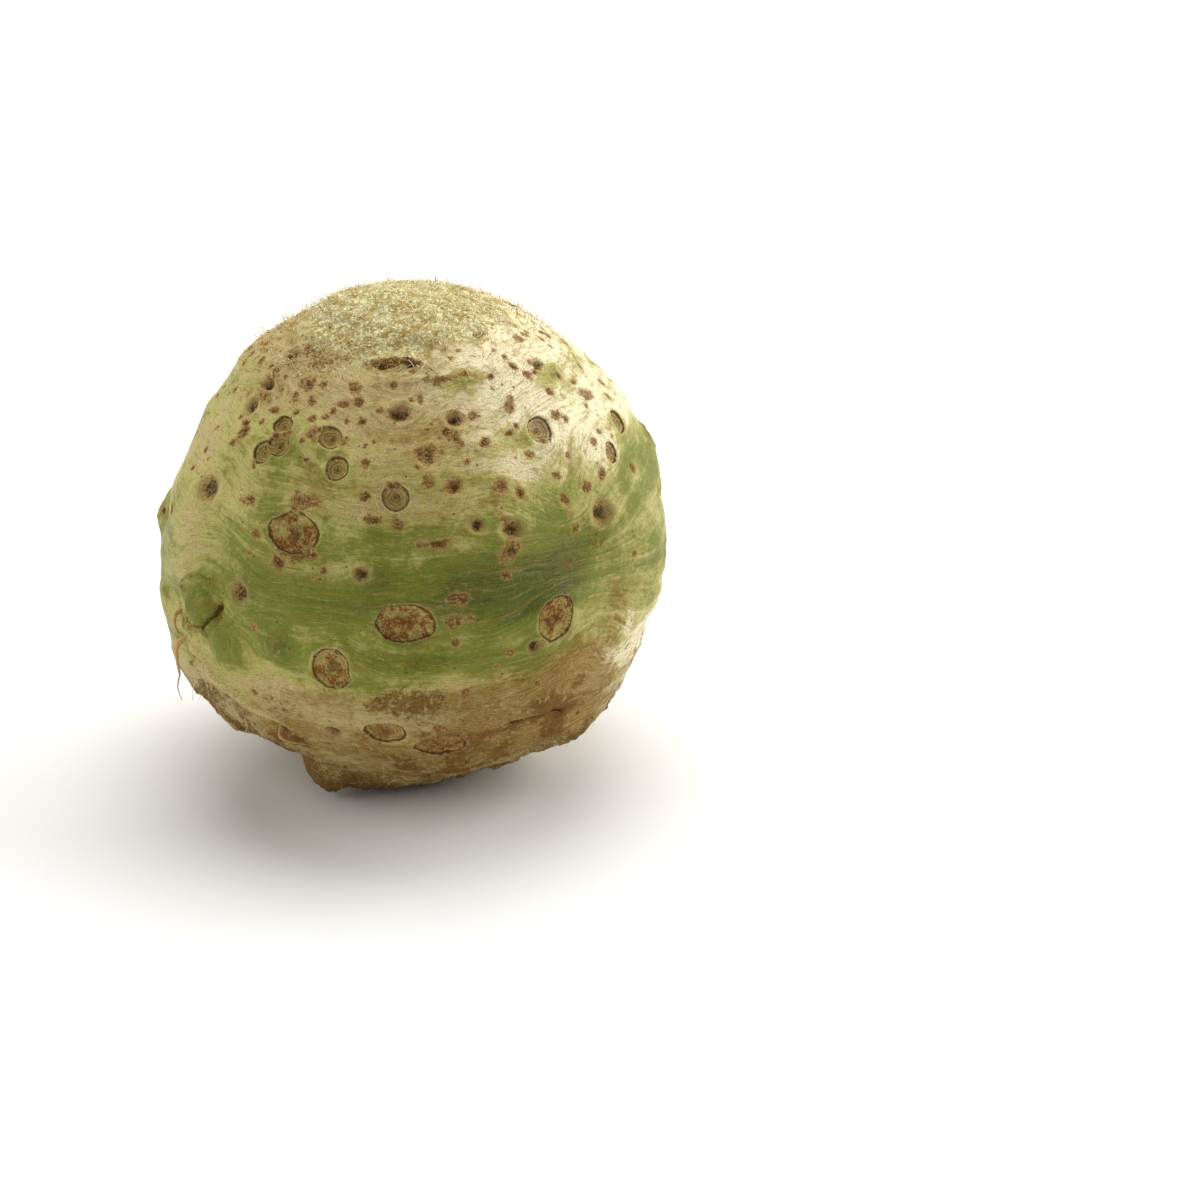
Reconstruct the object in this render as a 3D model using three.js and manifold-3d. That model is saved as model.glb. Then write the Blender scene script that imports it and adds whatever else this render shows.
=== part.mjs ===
// A celeriac root: one swollen, nearly round vegetable with a cropped leaf crown, ringed root scars,
// knobs, knife-trimmed facets round its foot and a few thin rootlets, standing on a small flat cut.
// Millimetres, +Z up. The origin is the middle of the flat cut, and -Y is the front.
import * as THREE from 'three';
import { mergeVertices } from 'three/addons/utils/BufferGeometryUtils.js';
import Module from 'manifold-3d';

// Driving dimensions
const meanRadius = 62;
const middleHeight = 59.3; // of the root's middle above the flat cut
const meshDetail = 22; // an icosahedron's edge is split into this many pieces, plus one
const finestRelief = 3.4; // a mark narrower than this is drawn this wide, so that the mesh can carry it

// The front features are given as they look to an eye that stands in front of the root and above it
const eyeDistance = 1000;
const eyeElevation = 25;
const eyeAside = 48; // the eye stands this far to the right of the root's middle
const eyeBelow = 17; // and its line of sight passes this far below it

const degrees = THREE.MathUtils.DEG2RAD;
const middle = new THREE.Vector3(0, 0, middleHeight);
const toRight = new THREE.Vector3(1, 0, 0);
const toTop = new THREE.Vector3(0, Math.sin(eyeElevation * degrees), Math.cos(eyeElevation * degrees));
const toEye = new THREE.Vector3(0, -Math.cos(eyeElevation * degrees), Math.sin(eyeElevation * degrees));

// Directions from the root's middle
const bearing = (turn, latitude) => new THREE.Vector3(
  Math.cos(latitude * degrees) * Math.cos(turn * degrees),
  Math.cos(latitude * degrees) * Math.sin(turn * degrees),
  Math.sin(latitude * degrees),
);
const onOutline = (turn) => new THREE.Vector3()
  .addScaledVector(toRight, Math.cos(turn * degrees))
  .addScaledVector(toTop, Math.sin(turn * degrees));
const leaning = (turn, lean) => onOutline(turn)
  .multiplyScalar(Math.cos(lean * degrees))
  .addScaledVector(toEye, Math.sin(lean * degrees));

// Broad swells and hollows of the body: where, how wide in degrees, how high in millimetres
const swells = [
  { at: onOutline(157), spread: 15, rise: -4.4 }, // flat left shoulder
  { at: leaning(132, 12), spread: 16, rise: -1 },
  { at: onOutline(14), spread: 17, rise: 2.4 }, // full right shoulder
  { at: leaning(-20, 10), spread: 20, rise: 1.8 },
  { at: leaning(-139, 4), spread: 8.5, rise: 6.5 }, // heel of trimmed roots, lower left
  { at: leaning(-119, 5), spread: 4, rise: -3.6 }, // notch between the two heels
  { at: leaning(-104, 2), spread: 5, rise: 2 }, // second heel, beside the flat cut
  { at: onOutline(-48), spread: 10, rise: 3.4 }, // lower right swell
  { at: leaning(-160, 10), spread: 7, rise: 1.8 }, // foot of the side knob
  { at: leaning(-8, 42), spread: 8, rise: -1.6 }, // hollow where the grain gathers
  { at: leaning(-70, 62), spread: 15, rise: 1 },
  { at: bearing(0, 90), spread: 13, rise: 1.6 }, // leaf crown
  { at: bearing(95, 12), spread: 24, rise: -2.4 }, // back
  { at: bearing(40, -12), spread: 16, rise: 1.6 },
  { at: bearing(135, -28), spread: 13, rise: 3.2 },
  { at: bearing(75, -38), spread: 10, rise: 2.6 },
  { at: bearing(170, -8), spread: 12, rise: 1 },
];

// Knife-trimmed facets: which way each faces, and how far it lies from the root's middle
const trims = [
  { facing: leaning(-133, 17), reach: 62.3 },
  { facing: leaning(-67, 17), reach: 62.2 },
  { facing: bearing(28, -47), reach: 59.5 },
  { facing: bearing(72, -52), reach: 58.2 },
  { facing: bearing(122, -45), reach: 59.6 },
  { facing: bearing(165, -52), reach: 58.4 },
];
const trimEdge = 0.9; // how far a facet's edge is rounded

// Side shoots and blisters: raised, in millimetres, and as wide as they are given
const knobs = [
  { right: -51, up: -17.5, wide: 9.5, tall: 14, rise: 3 },
  { right: -54.5, up: -25, wide: 8, tall: 8, rise: 2.4 },
  { right: -62.5, up: 5.5, wide: 9, tall: 11, rise: 3.4 },
  { right: -44.8, up: -29.6, wide: 13, tall: 12, rise: 1.7 },
  { right: -33.6, up: -26.6, wide: 11, tall: 10, rise: 1 },
  { right: 35.6, up: -41.8, wide: 11, tall: 10, rise: 1.6 },
  { right: -39, up: -44.2, wide: 10, tall: 7, rise: 1.3 },
  { right: -19.5, up: -57.5, wide: 9, tall: 6, rise: 1.2 },
];

// Root scars on the front: ringed discs, and pits
const ringScars = [
  { right: -0.8, up: -22.9, wide: 14.5, tall: 10 },
  { right: -19.3, up: -34.3, wide: 9.5, tall: 11 },
  { right: 36.9, up: -21.3, wide: 10.5, tall: 11 },
  { right: -28.6, up: -0.3, wide: 12, tall: 9.5 },
  { right: -32.1, up: 21.3, wide: 5, tall: 5 },
  { right: -35.9, up: 19.8, wide: 5, tall: 5.5 },
  { right: -31, up: 26.5, wide: 5, tall: 4.5 },
  { right: -19.3, up: 23.4, wide: 6, tall: 5.5 },
  { right: -17.8, up: 15.8, wide: 5.5, tall: 5.5 },
  { right: -3.1, up: 8.5, wide: 6, tall: 6 },
  { right: 32.8, up: 25.5, wide: 6.5, tall: 7 },
  { right: 52.3, up: 27.5, wide: 5, tall: 5.5 },
  { right: 50.5, up: 19.8, wide: 5, tall: 5 },
  { right: -5.4, up: -49.8, wide: 10, tall: 7 },
  { right: 7.9, up: -52.9, wide: 12, tall: 8 },
];
const pits = [
  { right: -49.8, up: 11, wide: 8, tall: 7 },
  { right: -39.1, up: 31.5, wide: 5, tall: 6.5 },
  { right: 11.5, up: 27.8, wide: 4.5, tall: 4 },
  { right: -2.1, up: 29.3, wide: 7, tall: 4.5 },
  { right: 17.4, up: 1.6, wide: 3.6, tall: 3.4 },
  { right: 26, up: 0.6, wide: 6.5, tall: 4.5 },
  { right: 48.1, up: 5.1, wide: 6.5, tall: 6.5 },
  { right: -11.5, up: -10.5, wide: 4.2, tall: 4 },
  { right: -42.1, up: -15.2, wide: 5.5, tall: 6 },
  { right: 32.3, up: 41.8, wide: 4.5, tall: 3.6 },
  { right: -29, up: 44.1, wide: 4.5, tall: 4.5 },
  { right: -35, up: 37, wide: 5, tall: 3.6 },
  { right: -18.3, up: -49.8, wide: 5.5, tall: 4.5 },
  { right: 31.7, up: -28.5, wide: 4, tall: 4 },
];

// Scars on the sides that the front view doesn't reach, scattered on a golden spiral
const scatter = {
  seed: 20261,
  count: 230,
  jitter: 6, // degrees
  smallest: 3.6,
  largest: 10.5,
  share: 0.62, // of the places that carry a scar
  keepOff: 0.16, // how far round the side, as a cosine, the front's own scars reach
};

const relief = {
  ringRise: 0.8,
  dishDepth: 0.9,
  bossRise: 0.7, // of the corky middle of a large scar
  bossFrom: 8, // the width from which a scar has one
  pitDepth: 1.8,
  pitRim: 0.45,
  cutDish: 0.7, // of a cut root's middle
};

// Stubs of side roots that were cut off short, round the foot
const cutRoots = [
  { turn: 20, latitude: -27, wide: 9, rise: 2.2 },
  { turn: 48, latitude: -44, wide: 7.5, rise: 2.4 },
  { turn: 82, latitude: -22, wide: 8, rise: 1.8 },
  { turn: 101, latitude: -47, wide: 9.5, rise: 2.6 },
  { turn: 133, latitude: -36, wide: 8.5, rise: 2.2 },
  { turn: 158, latitude: -20, wide: 9, rise: 2 },
  { turn: 171, latitude: -47, wide: 7.5, rise: 2.2 },
  { turn: 318, latitude: -58, wide: 7, rise: 1.4 },
];

// The mesh's points are drawn together where the marks turn sharply
const gather = {
  reach: 2.4, // half-sizes of a mark
  pull: 0.55,
};

// Leaf bases: low ridges that ring the crown, broken up round it
const crown = {
  from: 7, // degrees from the tip
  to: 34,
  ridges: 3,
  rise: 0.8,
};

// Slow waves of the skin that run round the root like its growth lines
const waves = [
  { along: bearing(90, 84), length: 15.5, rise: 0.3, start: 0.6 },
  { along: bearing(200, 70), length: 21, rise: 0.34, start: 2.1 },
  { along: bearing(320, 30), length: 33, rise: 0.4, start: 4.4 },
  { along: bearing(70, 12), length: 41, rise: 0.45, start: 1.3 },
];

// Thin rootlets that hang from the side knob and the heel, as steps from a root that is sunk into the body
const rootlets = [
  {
    right: -55.6, up: -26.4, thick: 2.2, tip: 0.7,
    steps: [[0, 0, 0], [-3.4, -1.2, -1.6], [-3.6, -1.6, -6], [-2.6, -1.6, -10.5], [-3.2, -1.2, -15]],
  },
  {
    right: -52.6, up: -33.5, thick: 1.5, tip: 0.6,
    steps: [[0, 0, 0], [-3.6, -1.4, -2], [-4.2, -1.8, -6], [-4.6, -1.6, -10]],
  },
  {
    right: -31.5, up: -49, thick: 1.9, tip: 0.8,
    steps: [[0, 0, 0], [-0.6, -3, -1.6], [3, -4, -2.6], [6.5, -2.6, -3.6]],
  },
];
const rootletSides = 6;
const rootletPieces = 8;

// The whole numbers that both the scatter's chances and its jitter are drawn from
function makeDice(seed) {
  let state = seed >>> 0;
  return () => {
    state = (Math.imul(state, 1664525) + 1013904223) >>> 0;
    return state / 4294967296;
  };
}

const angleBetween = (a, b) => Math.acos(THREE.MathUtils.clamp(a.dot(b), -1, 1)) / degrees;
const bell = (x) => Math.exp(-x * x);

// The smaller of two lengths, rounded off where they meet
function softMin(a, b, width) {
  const h = Math.max(width - Math.abs(a - b), 0) / width;
  return Math.min(a, b) - h * h * width / 4;
}

// The body alone, without its scars: the distance of its surface from its middle
function bodyRadius(direction) {
  let radius = meanRadius;
  for (const swell of swells) {
    radius += swell.rise * Math.exp(-0.5 * (angleBetween(direction, swell.at) / swell.spread) ** 2);
  }
  for (const wave of waves) {
    const phase = direction.dot(wave.along) * meanRadius * 2 * Math.PI / wave.length;
    radius += wave.rise * Math.sin(phase + wave.start);
  }
  for (const trim of trims) {
    const facing = direction.dot(trim.facing);
    if (facing > 0.3) radius = softMin(radius, trim.reach / facing, trimEdge);
  }
  return radius;
}

// The direction of the body's point that the eye sees at a place on its picture of the root
function seenAt(right, up) {
  const eye = middle.clone()
    .addScaledVector(toRight, eyeAside)
    .addScaledVector(toTop, -eyeBelow)
    .addScaledVector(toEye, eyeDistance);
  const sight = middle.clone()
    .addScaledVector(toRight, right)
    .addScaledVector(toTop, up)
    .sub(eye)
    .normalize();
  const fromMiddle = eye.sub(middle);
  const along = -fromMiddle.dot(sight);
  let radius = meanRadius;
  let direction;
  for (let pass = 0; pass < 4; pass++) {
    const missed = fromMiddle.lengthSq() - along * along;
    const depth = Math.sqrt(Math.max(radius * radius - missed, 0));
    direction = fromMiddle.clone().addScaledVector(sight, along - depth).normalize();
    radius = bodyRadius(direction);
  }
  return direction;
}

// A mark's own frame on the surface: east runs round the root and north towards its crown
function placeMark(direction, mark) {
  const east = new THREE.Vector3(0, 0, 1).cross(direction).normalize();
  const north = direction.clone().cross(east);
  return {
    ...mark,
    at: direction,
    east,
    north,
    halfWide: Math.max(mark.wide, finestRelief) / 2,
    halfTall: Math.max(mark.tall, finestRelief) / 2,
  };
}
const placeSeen = (mark) => placeMark(seenAt(mark.right, mark.up), mark);
const placeStub = (stub) => placeMark(bearing(stub.turn, stub.latitude), { ...stub, tall: stub.wide });

// How many of its own half-sizes a direction lies from a mark's middle
function spansFrom(mark, direction) {
  if (direction.dot(mark.at) < 0.8) return Infinity;
  const across = direction.dot(mark.east) * meanRadius / mark.halfWide;
  const upward = direction.dot(mark.north) * meanRadius / mark.halfTall;
  return Math.hypot(across, upward);
}

// The scattered scars: larger and fewer towards the foot, small and crowded under the crown
function scatterScars() {
  const dice = makeDice(scatter.seed);
  const found = { rings: [], pits: [] };
  const goldenTurn = 180 * (3 - Math.sqrt(5));
  for (let i = 0; i < scatter.count; i++) {
    const height = 1 - (2 * i + 1) / scatter.count;
    const latitude = Math.asin(height) / degrees + scatter.jitter * (dice() - 0.5);
    const turn = i * goldenTurn + scatter.jitter * (dice() - 0.5);
    const [chance, size, shape] = [dice(), dice(), dice()];
    const direction = bearing(turn, THREE.MathUtils.clamp(latitude, -80, 68));
    if (chance > scatter.share || direction.dot(toEye) > scatter.keepOff) continue;
    const lowness = THREE.MathUtils.smoothstep(-latitude, -50, 40);
    const wide = scatter.smallest + (scatter.largest - scatter.smallest) * size ** 2.4 * lowness;
    const mark = placeMark(direction, { wide, tall: wide * (0.72 + 0.36 * shape) });
    (wide > 4.6 ? found.rings : found.pits).push(mark);
  }
  return found;
}

const scattered = scatterScars();
const marks = {
  knobs: knobs.map(placeSeen),
  rings: [...ringScars.map(placeSeen), ...scattered.rings],
  pits: [...pits.map(placeSeen), ...scattered.pits],
  cutRoots: cutRoots.map(placeStub),
};

// A ringed scar is a shallow dish with a raised lip, a pit is a hole with a softer one, a knob is a dome
const ringProfile = (spans, size) => relief.ringRise * bell((spans - 1.15) / 0.32)
  - relief.dishDepth * bell((spans * 0.9) ** 2)
  + (size > relief.bossFrom ? relief.bossRise * bell((spans / 0.55) ** 2) : 0);
const pitProfile = (spans, size) => relief.pitRim * bell((spans - 1.25) / 0.4)
  - relief.pitDepth * Math.min(1, size / 5) * bell(spans / 0.7);
const knobProfile = (spans, rise) => rise * bell(spans * 0.92);
const stubProfile = (spans, rise) => rise * (1 - THREE.MathUtils.smoothstep(spans, 0.72, 1.4))
  - relief.cutDish * bell(spans / 0.5);

function crownRelief(direction) {
  const fromTip = angleBetween(direction, new THREE.Vector3(0, 0, 1));
  const share = (fromTip - crown.from) / (crown.to - crown.from);
  if (share <= 0 || share >= 1) return 0;
  const turn = Math.atan2(direction.y, direction.x);
  const broken = 0.55 + 0.45 * Math.sin(5 * turn + 4 * share);
  return crown.rise * Math.sin(Math.PI * share) * broken
    * Math.cos(2 * Math.PI * crown.ridges * share + 1.4 * Math.sin(2 * turn));
}

function surfaceRadius(direction) {
  let radius = bodyRadius(direction) + crownRelief(direction);
  for (const mark of marks.knobs) radius += knobProfile(spansFrom(mark, direction), mark.rise);
  for (const mark of marks.rings) radius += ringProfile(spansFrom(mark, direction), mark.wide);
  for (const mark of marks.pits) radius += pitProfile(spansFrom(mark, direction), mark.wide);
  for (const mark of marks.cutRoots) radius += stubProfile(spansFrom(mark, direction), mark.rise);
  return radius;
}

// Moves a direction within its mark: towards the lip of a ringed scar or a stub, or the bottom of a pit
function drawTogether(direction) {
  const gathered = direction.clone();
  const draw = (mark, pull) => {
    const spans = spansFrom(mark, gathered);
    if (spans >= gather.reach || spans < 1e-6) return;
    const shift = pull * gather.reach / (2 * Math.PI) * Math.sin(2 * Math.PI * spans / gather.reach);
    const fromMark = gathered.clone().sub(mark.at);
    gathered.copy(mark.at).addScaledVector(fromMark, (spans + shift) / spans).normalize();
  };
  for (const mark of [...marks.rings, ...marks.cutRoots]) draw(mark, gather.pull);
  for (const mark of marks.pits) draw(mark, -gather.pull);
  return gathered;
}

// The body's mesh: an even ball whose every point is moved out to the surface
function makeBody() {
  const ball = new THREE.IcosahedronGeometry(1, meshDetail);
  ball.deleteAttribute('normal');
  ball.deleteAttribute('uv');
  const body = mergeVertices(ball, 1e-5);
  const points = body.getAttribute('position');
  const direction = new THREE.Vector3();
  for (let i = 0; i < points.count; i++) {
    direction.copy(drawTogether(direction.fromBufferAttribute(points, i).normalize()));
    const place = direction.clone().multiplyScalar(surfaceRadius(direction)).add(middle);
    points.setXYZ(i, place.x, place.y, place.z);
  }
  return body;
}

// One closed, tapering tube along a smooth line
function makeRootlet({ right, up, thick, tip, steps }) {
  const direction = seenAt(right, up);
  const start = direction.clone().multiplyScalar(bodyRadius(direction) - thick).add(middle);
  const line = new THREE.CatmullRomCurve3(
    steps.map(([x, y, z]) => new THREE.Vector3(x, y, z).add(start)),
  );
  const frames = line.computeFrenetFrames(rootletPieces, false);
  const vertices = [];
  for (let i = 0; i <= rootletPieces; i++) {
    const share = i / rootletPieces;
    const centre = line.getPointAt(share);
    const radius = THREE.MathUtils.lerp(thick, tip, share) / 2;
    for (let side = 0; side < rootletSides; side++) {
      const turn = 2 * Math.PI * side / rootletSides;
      const point = centre.clone()
        .addScaledVector(frames.normals[i], radius * Math.cos(turn))
        .addScaledVector(frames.binormals[i], radius * Math.sin(turn));
      vertices.push(point.x, point.y, point.z);
    }
  }
  const faces = [];
  const corner = (ring, side) => ring * rootletSides + side % rootletSides;
  for (let ring = 0; ring < rootletPieces; ring++) {
    for (let side = 0; side < rootletSides; side++) {
      faces.push(corner(ring, side), corner(ring, side + 1), corner(ring + 1, side + 1));
      faces.push(corner(ring, side), corner(ring + 1, side + 1), corner(ring + 1, side));
    }
  }
  for (let side = 1; side < rootletSides - 1; side++) {
    faces.push(corner(0, 0), corner(0, side + 1), corner(0, side));
    faces.push(corner(rootletPieces, 0), corner(rootletPieces, side), corner(rootletPieces, side + 1));
  }
  return new THREE.BufferGeometry()
    .setAttribute('position', new THREE.Float32BufferAttribute(vertices, 3))
    .setIndex(faces);
}

// The knife that makes the flat cut: everything below the surface that the root stands on
function makeKnife() {
  const block = new THREE.BoxGeometry(200, 200, 40).translate(0, 0, -20);
  block.deleteAttribute('normal');
  block.deleteAttribute('uv');
  return mergeVertices(block);
}

const wasm = await Module();
wasm.setup();

const toSolid = (geometry) => new wasm.Manifold(new wasm.Mesh({
  numProp: 3,
  vertProperties: new Float32Array(geometry.getAttribute('position').array),
  triVerts: new Uint32Array(geometry.index.array),
}));

function toGeometry(solid) {
  const mesh = solid.getMesh();
  const geometry = new THREE.BufferGeometry()
    .setAttribute('position', new THREE.BufferAttribute(mesh.vertProperties, 3))
    .setIndex(new THREE.BufferAttribute(mesh.triVerts, 1));
  geometry.computeVertexNormals();
  return geometry;
}

let root = toSolid(makeBody());
for (const rootlet of rootlets) root = root.add(toSolid(makeRootlet(rootlet)));
root = root.subtract(toSolid(makeKnife()));

const skin = new THREE.MeshStandardMaterial({ color: '#a8a066', roughness: 0.72, metalness: 0 });
const celeriac = new THREE.Mesh(toGeometry(root), skin);
celeriac.name = 'celeriac_root';

const part = new THREE.Group();
part.add(celeriac);

export default part;
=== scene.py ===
import itertools
import math

import bpy
import numpy as np
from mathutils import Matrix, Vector


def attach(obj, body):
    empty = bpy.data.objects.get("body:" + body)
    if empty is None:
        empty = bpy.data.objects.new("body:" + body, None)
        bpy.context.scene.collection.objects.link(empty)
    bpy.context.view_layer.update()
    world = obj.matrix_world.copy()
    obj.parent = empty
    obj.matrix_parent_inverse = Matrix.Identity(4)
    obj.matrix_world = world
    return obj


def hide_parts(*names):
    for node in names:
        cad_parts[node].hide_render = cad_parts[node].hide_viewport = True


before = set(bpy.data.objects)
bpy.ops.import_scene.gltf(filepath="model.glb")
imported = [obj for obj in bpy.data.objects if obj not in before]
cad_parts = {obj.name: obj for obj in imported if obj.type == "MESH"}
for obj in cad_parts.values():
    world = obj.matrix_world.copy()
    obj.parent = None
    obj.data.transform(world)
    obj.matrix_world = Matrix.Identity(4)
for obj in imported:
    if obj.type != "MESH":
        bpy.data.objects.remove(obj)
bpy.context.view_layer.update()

# A whole celeriac root. Lengths are in millimetres in the shape's values and formulas,
# and in metres on every Blender object. The front is -Y.

millimetre = 0.001
print("frame loaded")


def linearColour(text):
    # an sRGB hex colour as the linear one that a shader works with
    parts = [int(text[place:place + 2], 16) / 255 for place in (1, 3, 5)]
    return [c / 12.92 if c <= 0.04045 else ((c + 0.055) / 1.055) ** 2.4 for c in parts] + [1.0]


def addNode(tree, kind, sockets=None, **settings):
    # sockets: an input's name or number, and either a value or the socket that feeds it
    node = tree.nodes.new(kind)
    for name, value in settings.items():
        setattr(node, name, value)
    for name, value in (sockets or {}).items():
        if isinstance(value, bpy.types.NodeSocket):
            tree.links.new(value, node.inputs[name])
        else:
            node.inputs[name].default_value = value
    return node


def addObject(name, data):
    piece = bpy.data.objects.new(name, data)
    bpy.context.scene.collection.objects.link(piece)
    return piece


# Camera

cameraPlace = {
    "middleHeight": 59.3,  # of the root's middle above the floor
    "elevation": 25,
    "aside": 48,  # the camera stands this far to the right of the root's middle
    "below": 17,
    "distance": 1000,
    "seenWidth": 300,  # of the frame, at the root's distance
    "sensor": 36,
}

lean = math.radians(cameraPlace["elevation"])
middle = np.array([0, 0, cameraPlace["middleHeight"]])
toRight = np.array([1.0, 0, 0])
toTop = np.array([0, math.sin(lean), math.cos(lean)])
toEye = np.array([0, -math.cos(lean), math.sin(lean)])
eye = (middle + toRight * cameraPlace["aside"] - toTop * cameraPlace["below"]
       + toEye * cameraPlace["distance"])


def makeCamera():
    data = bpy.data.cameras.new("camera")
    data.sensor_width = cameraPlace["sensor"]
    data.lens = cameraPlace["sensor"] * cameraPlace["distance"] / cameraPlace["seenWidth"]
    camera = addObject("camera", data)
    camera.location = Vector(eye * millimetre)
    camera.rotation_euler = (math.pi / 2 - lean, 0, 0)
    bpy.context.scene.camera = camera


makeCamera()
bpy.context.scene.view_settings.view_transform = "Standard"
print("camera placed")


# The root's form: one surface round its middle, a distance for every direction

rootForm = {
    "meanRadius": 62,
    "trimEdge": 0.9,  # how far a knife-trimmed facet's edge is rounded
    "finestRelief": 2.2,  # a mark narrower than this is drawn this wide
    "ballPieces": 127,  # quads along each side of the ball's six faces
}


def unit(vectors):
    return vectors / np.linalg.norm(vectors, axis=-1, keepdims=True)


def bearing(turn, latitude):
    turn, latitude = math.radians(turn), math.radians(latitude)
    return np.array([
        math.cos(latitude) * math.cos(turn),
        math.cos(latitude) * math.sin(turn),
        math.sin(latitude),
    ])


def leaning(turn, towardsEye=0):
    # a direction on the outline that the camera sees, leaned towards the camera
    turn, towardsEye = math.radians(turn), math.radians(towardsEye)
    onOutline = toRight * math.cos(turn) + toTop * math.sin(turn)
    return onOutline * math.cos(towardsEye) + toEye * math.sin(towardsEye)


# broad swells and hollows: where, how wide in degrees, how high
swells = [
    (leaning(157), 15, -4.4),  # flat left shoulder
    (leaning(132, 12), 16, -1),
    (leaning(14), 17, 2.4),  # full right shoulder
    (leaning(-20, 10), 20, 1.8),
    (leaning(-139, 4), 8.5, 6.5),  # heel of trimmed roots, lower left
    (leaning(-119, 5), 4, -3.6),  # notch between the two heels
    (leaning(-104, 2), 5, 2),  # second heel, beside the flat cut
    (leaning(-48), 10, 3.4),  # lower right swell
    (leaning(-160, 10), 7, 1.8),  # foot of the side knob
    (leaning(-8, 42), 8, -1.6),  # hollow where the grain gathers
    (leaning(-70, 62), 15, 1),
    (bearing(0, 90), 13, 1.6),  # leaf crown
    (bearing(95, 12), 24, -2.4),  # back
    (bearing(40, -12), 16, 1.6),
    (bearing(135, -28), 13, 3.2),
    (bearing(75, -38), 10, 2.6),
    (bearing(170, -8), 12, 1),
]

# knife-trimmed facets: which way each faces, and how far it lies from the middle
trims = [
    (leaning(-133, 17), 62.3),
    (leaning(-67, 17), 62.2),
    (bearing(28, -47), 59.5),
    (bearing(72, -52), 58.2),
    (bearing(122, -45), 59.6),
    (bearing(165, -52), 58.4),
]

# slow waves of the skin: along, length, rise, start
waves = [
    (bearing(90, 84), 15.5, 0.3, 0.6),
    (bearing(200, 70), 21, 0.34, 2.1),
    (bearing(320, 30), 33, 0.4, 4.4),
    (bearing(70, 12), 41, 0.45, 1.3),
]


def bell(x):
    return np.exp(-x * x)


def smoothStep(x, low, high):
    share = np.clip((x - low) / (high - low), 0, 1)
    return share * share * (3 - 2 * share)


def degreesBetween(directions, at):
    return np.degrees(np.arccos(np.clip(directions @ at, -1, 1)))


def bodyRadius(directions):
    radius = np.full(len(directions), float(rootForm["meanRadius"]))
    for at, spread, rise in swells:
        radius += rise * np.exp(-0.5 * (degreesBetween(directions, at) / spread) ** 2)
    for along, length, rise, start in waves:
        phase = directions @ along * rootForm["meanRadius"] * 2 * math.pi / length
        radius += rise * np.sin(phase + start)
    for facing, reach in trims:
        turned = directions @ facing
        near = turned > 0.3
        plane = reach / turned[near]
        edge = rootForm["trimEdge"]
        blend = np.maximum(edge - abs(radius[near] - plane), 0) / edge
        radius[near] = np.minimum(radius[near], plane) - blend * blend * edge / 4
    return radius


def seenAt(right, up):
    # the direction of the body's point that the camera sees at a place on its picture
    sight = unit(middle + toRight * right + toTop * up - eye)
    fromMiddle = eye - middle
    along = -fromMiddle @ sight
    radius = rootForm["meanRadius"]
    for _ in range(4):
        missed = fromMiddle @ fromMiddle - along * along
        depth = math.sqrt(max(radius * radius - missed, 0))
        direction = unit(fromMiddle + sight * (along - depth))
        radius = bodyRadius(direction[None])[0]
    return direction


# Marks on the skin: side knobs, ringed root scars, pits, rust-brown scabs, cut root stubs.
# The front's are given as the camera sees them, right and up of the root's middle, wide and tall.

knobs = [  # right, up, wide, tall, rise, which is below 0 for a hollow
    (-51, -17.8, 9.5, 13, 3.6),
    (-54.5, -25, 8, 8, 1.3),
    (-60, -17.5, 9, 9, -1.8),
    (-36, -52, 14, 8, -4),
    (-62.2, 7.2, 10, 12, 2.5),
    (-44.8, -29.6, 13, 12, 1.7),
    (-33.6, -26.6, 11, 10, 1),
    (35.6, -41.8, 11, 10, 1.6),
    (-39, -44.2, 10, 7, 1.3),
    (-22, -60, 13, 9, 3.6),
]
ringScars = [
    (-0.8, -22.9, 14.5, 10), (-19.3, -34.3, 9.5, 11), (36.9, -21.3, 10.5, 11), (-28.6, -0.3, 12, 9.5),
    (-32.1, 21.3, 5, 5), (-35.9, 19.8, 5, 5.5), (-31, 26.5, 5, 4.5), (-19.3, 23.4, 6, 5.5),
    (-17.8, 15.8, 5.5, 5.5), (-3.1, 8.5, 6, 6), (32.8, 25.5, 6.5, 7), (52.3, 27.5, 5, 5.5),
    (50.5, 19.8, 5, 5), (-5.4, -49.8, 10, 7), (7.9, -52.9, 12, 8),
]
pits = [
    (-49.8, 11, 8, 7), (-39.1, 31.5, 5, 6.5), (11.5, 27.8, 4.5, 4), (-2.1, 29.3, 7, 4.5),
    (17.4, 1.6, 3.6, 3.4), (26, 0.6, 6.5, 4.5), (48.1, 5.1, 6.5, 6.5), (-11.5, -10.5, 4.2, 4),
    (-42.1, -15.2, 5.5, 6), (32.3, 41.8, 4.5, 3.6), (-29, 44.1, 4.5, 4.5), (-35, 37, 5, 3.6),
    (-18.3, -49.8, 5.5, 4.5), (31.7, -28.5, 4, 4),
]
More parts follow.
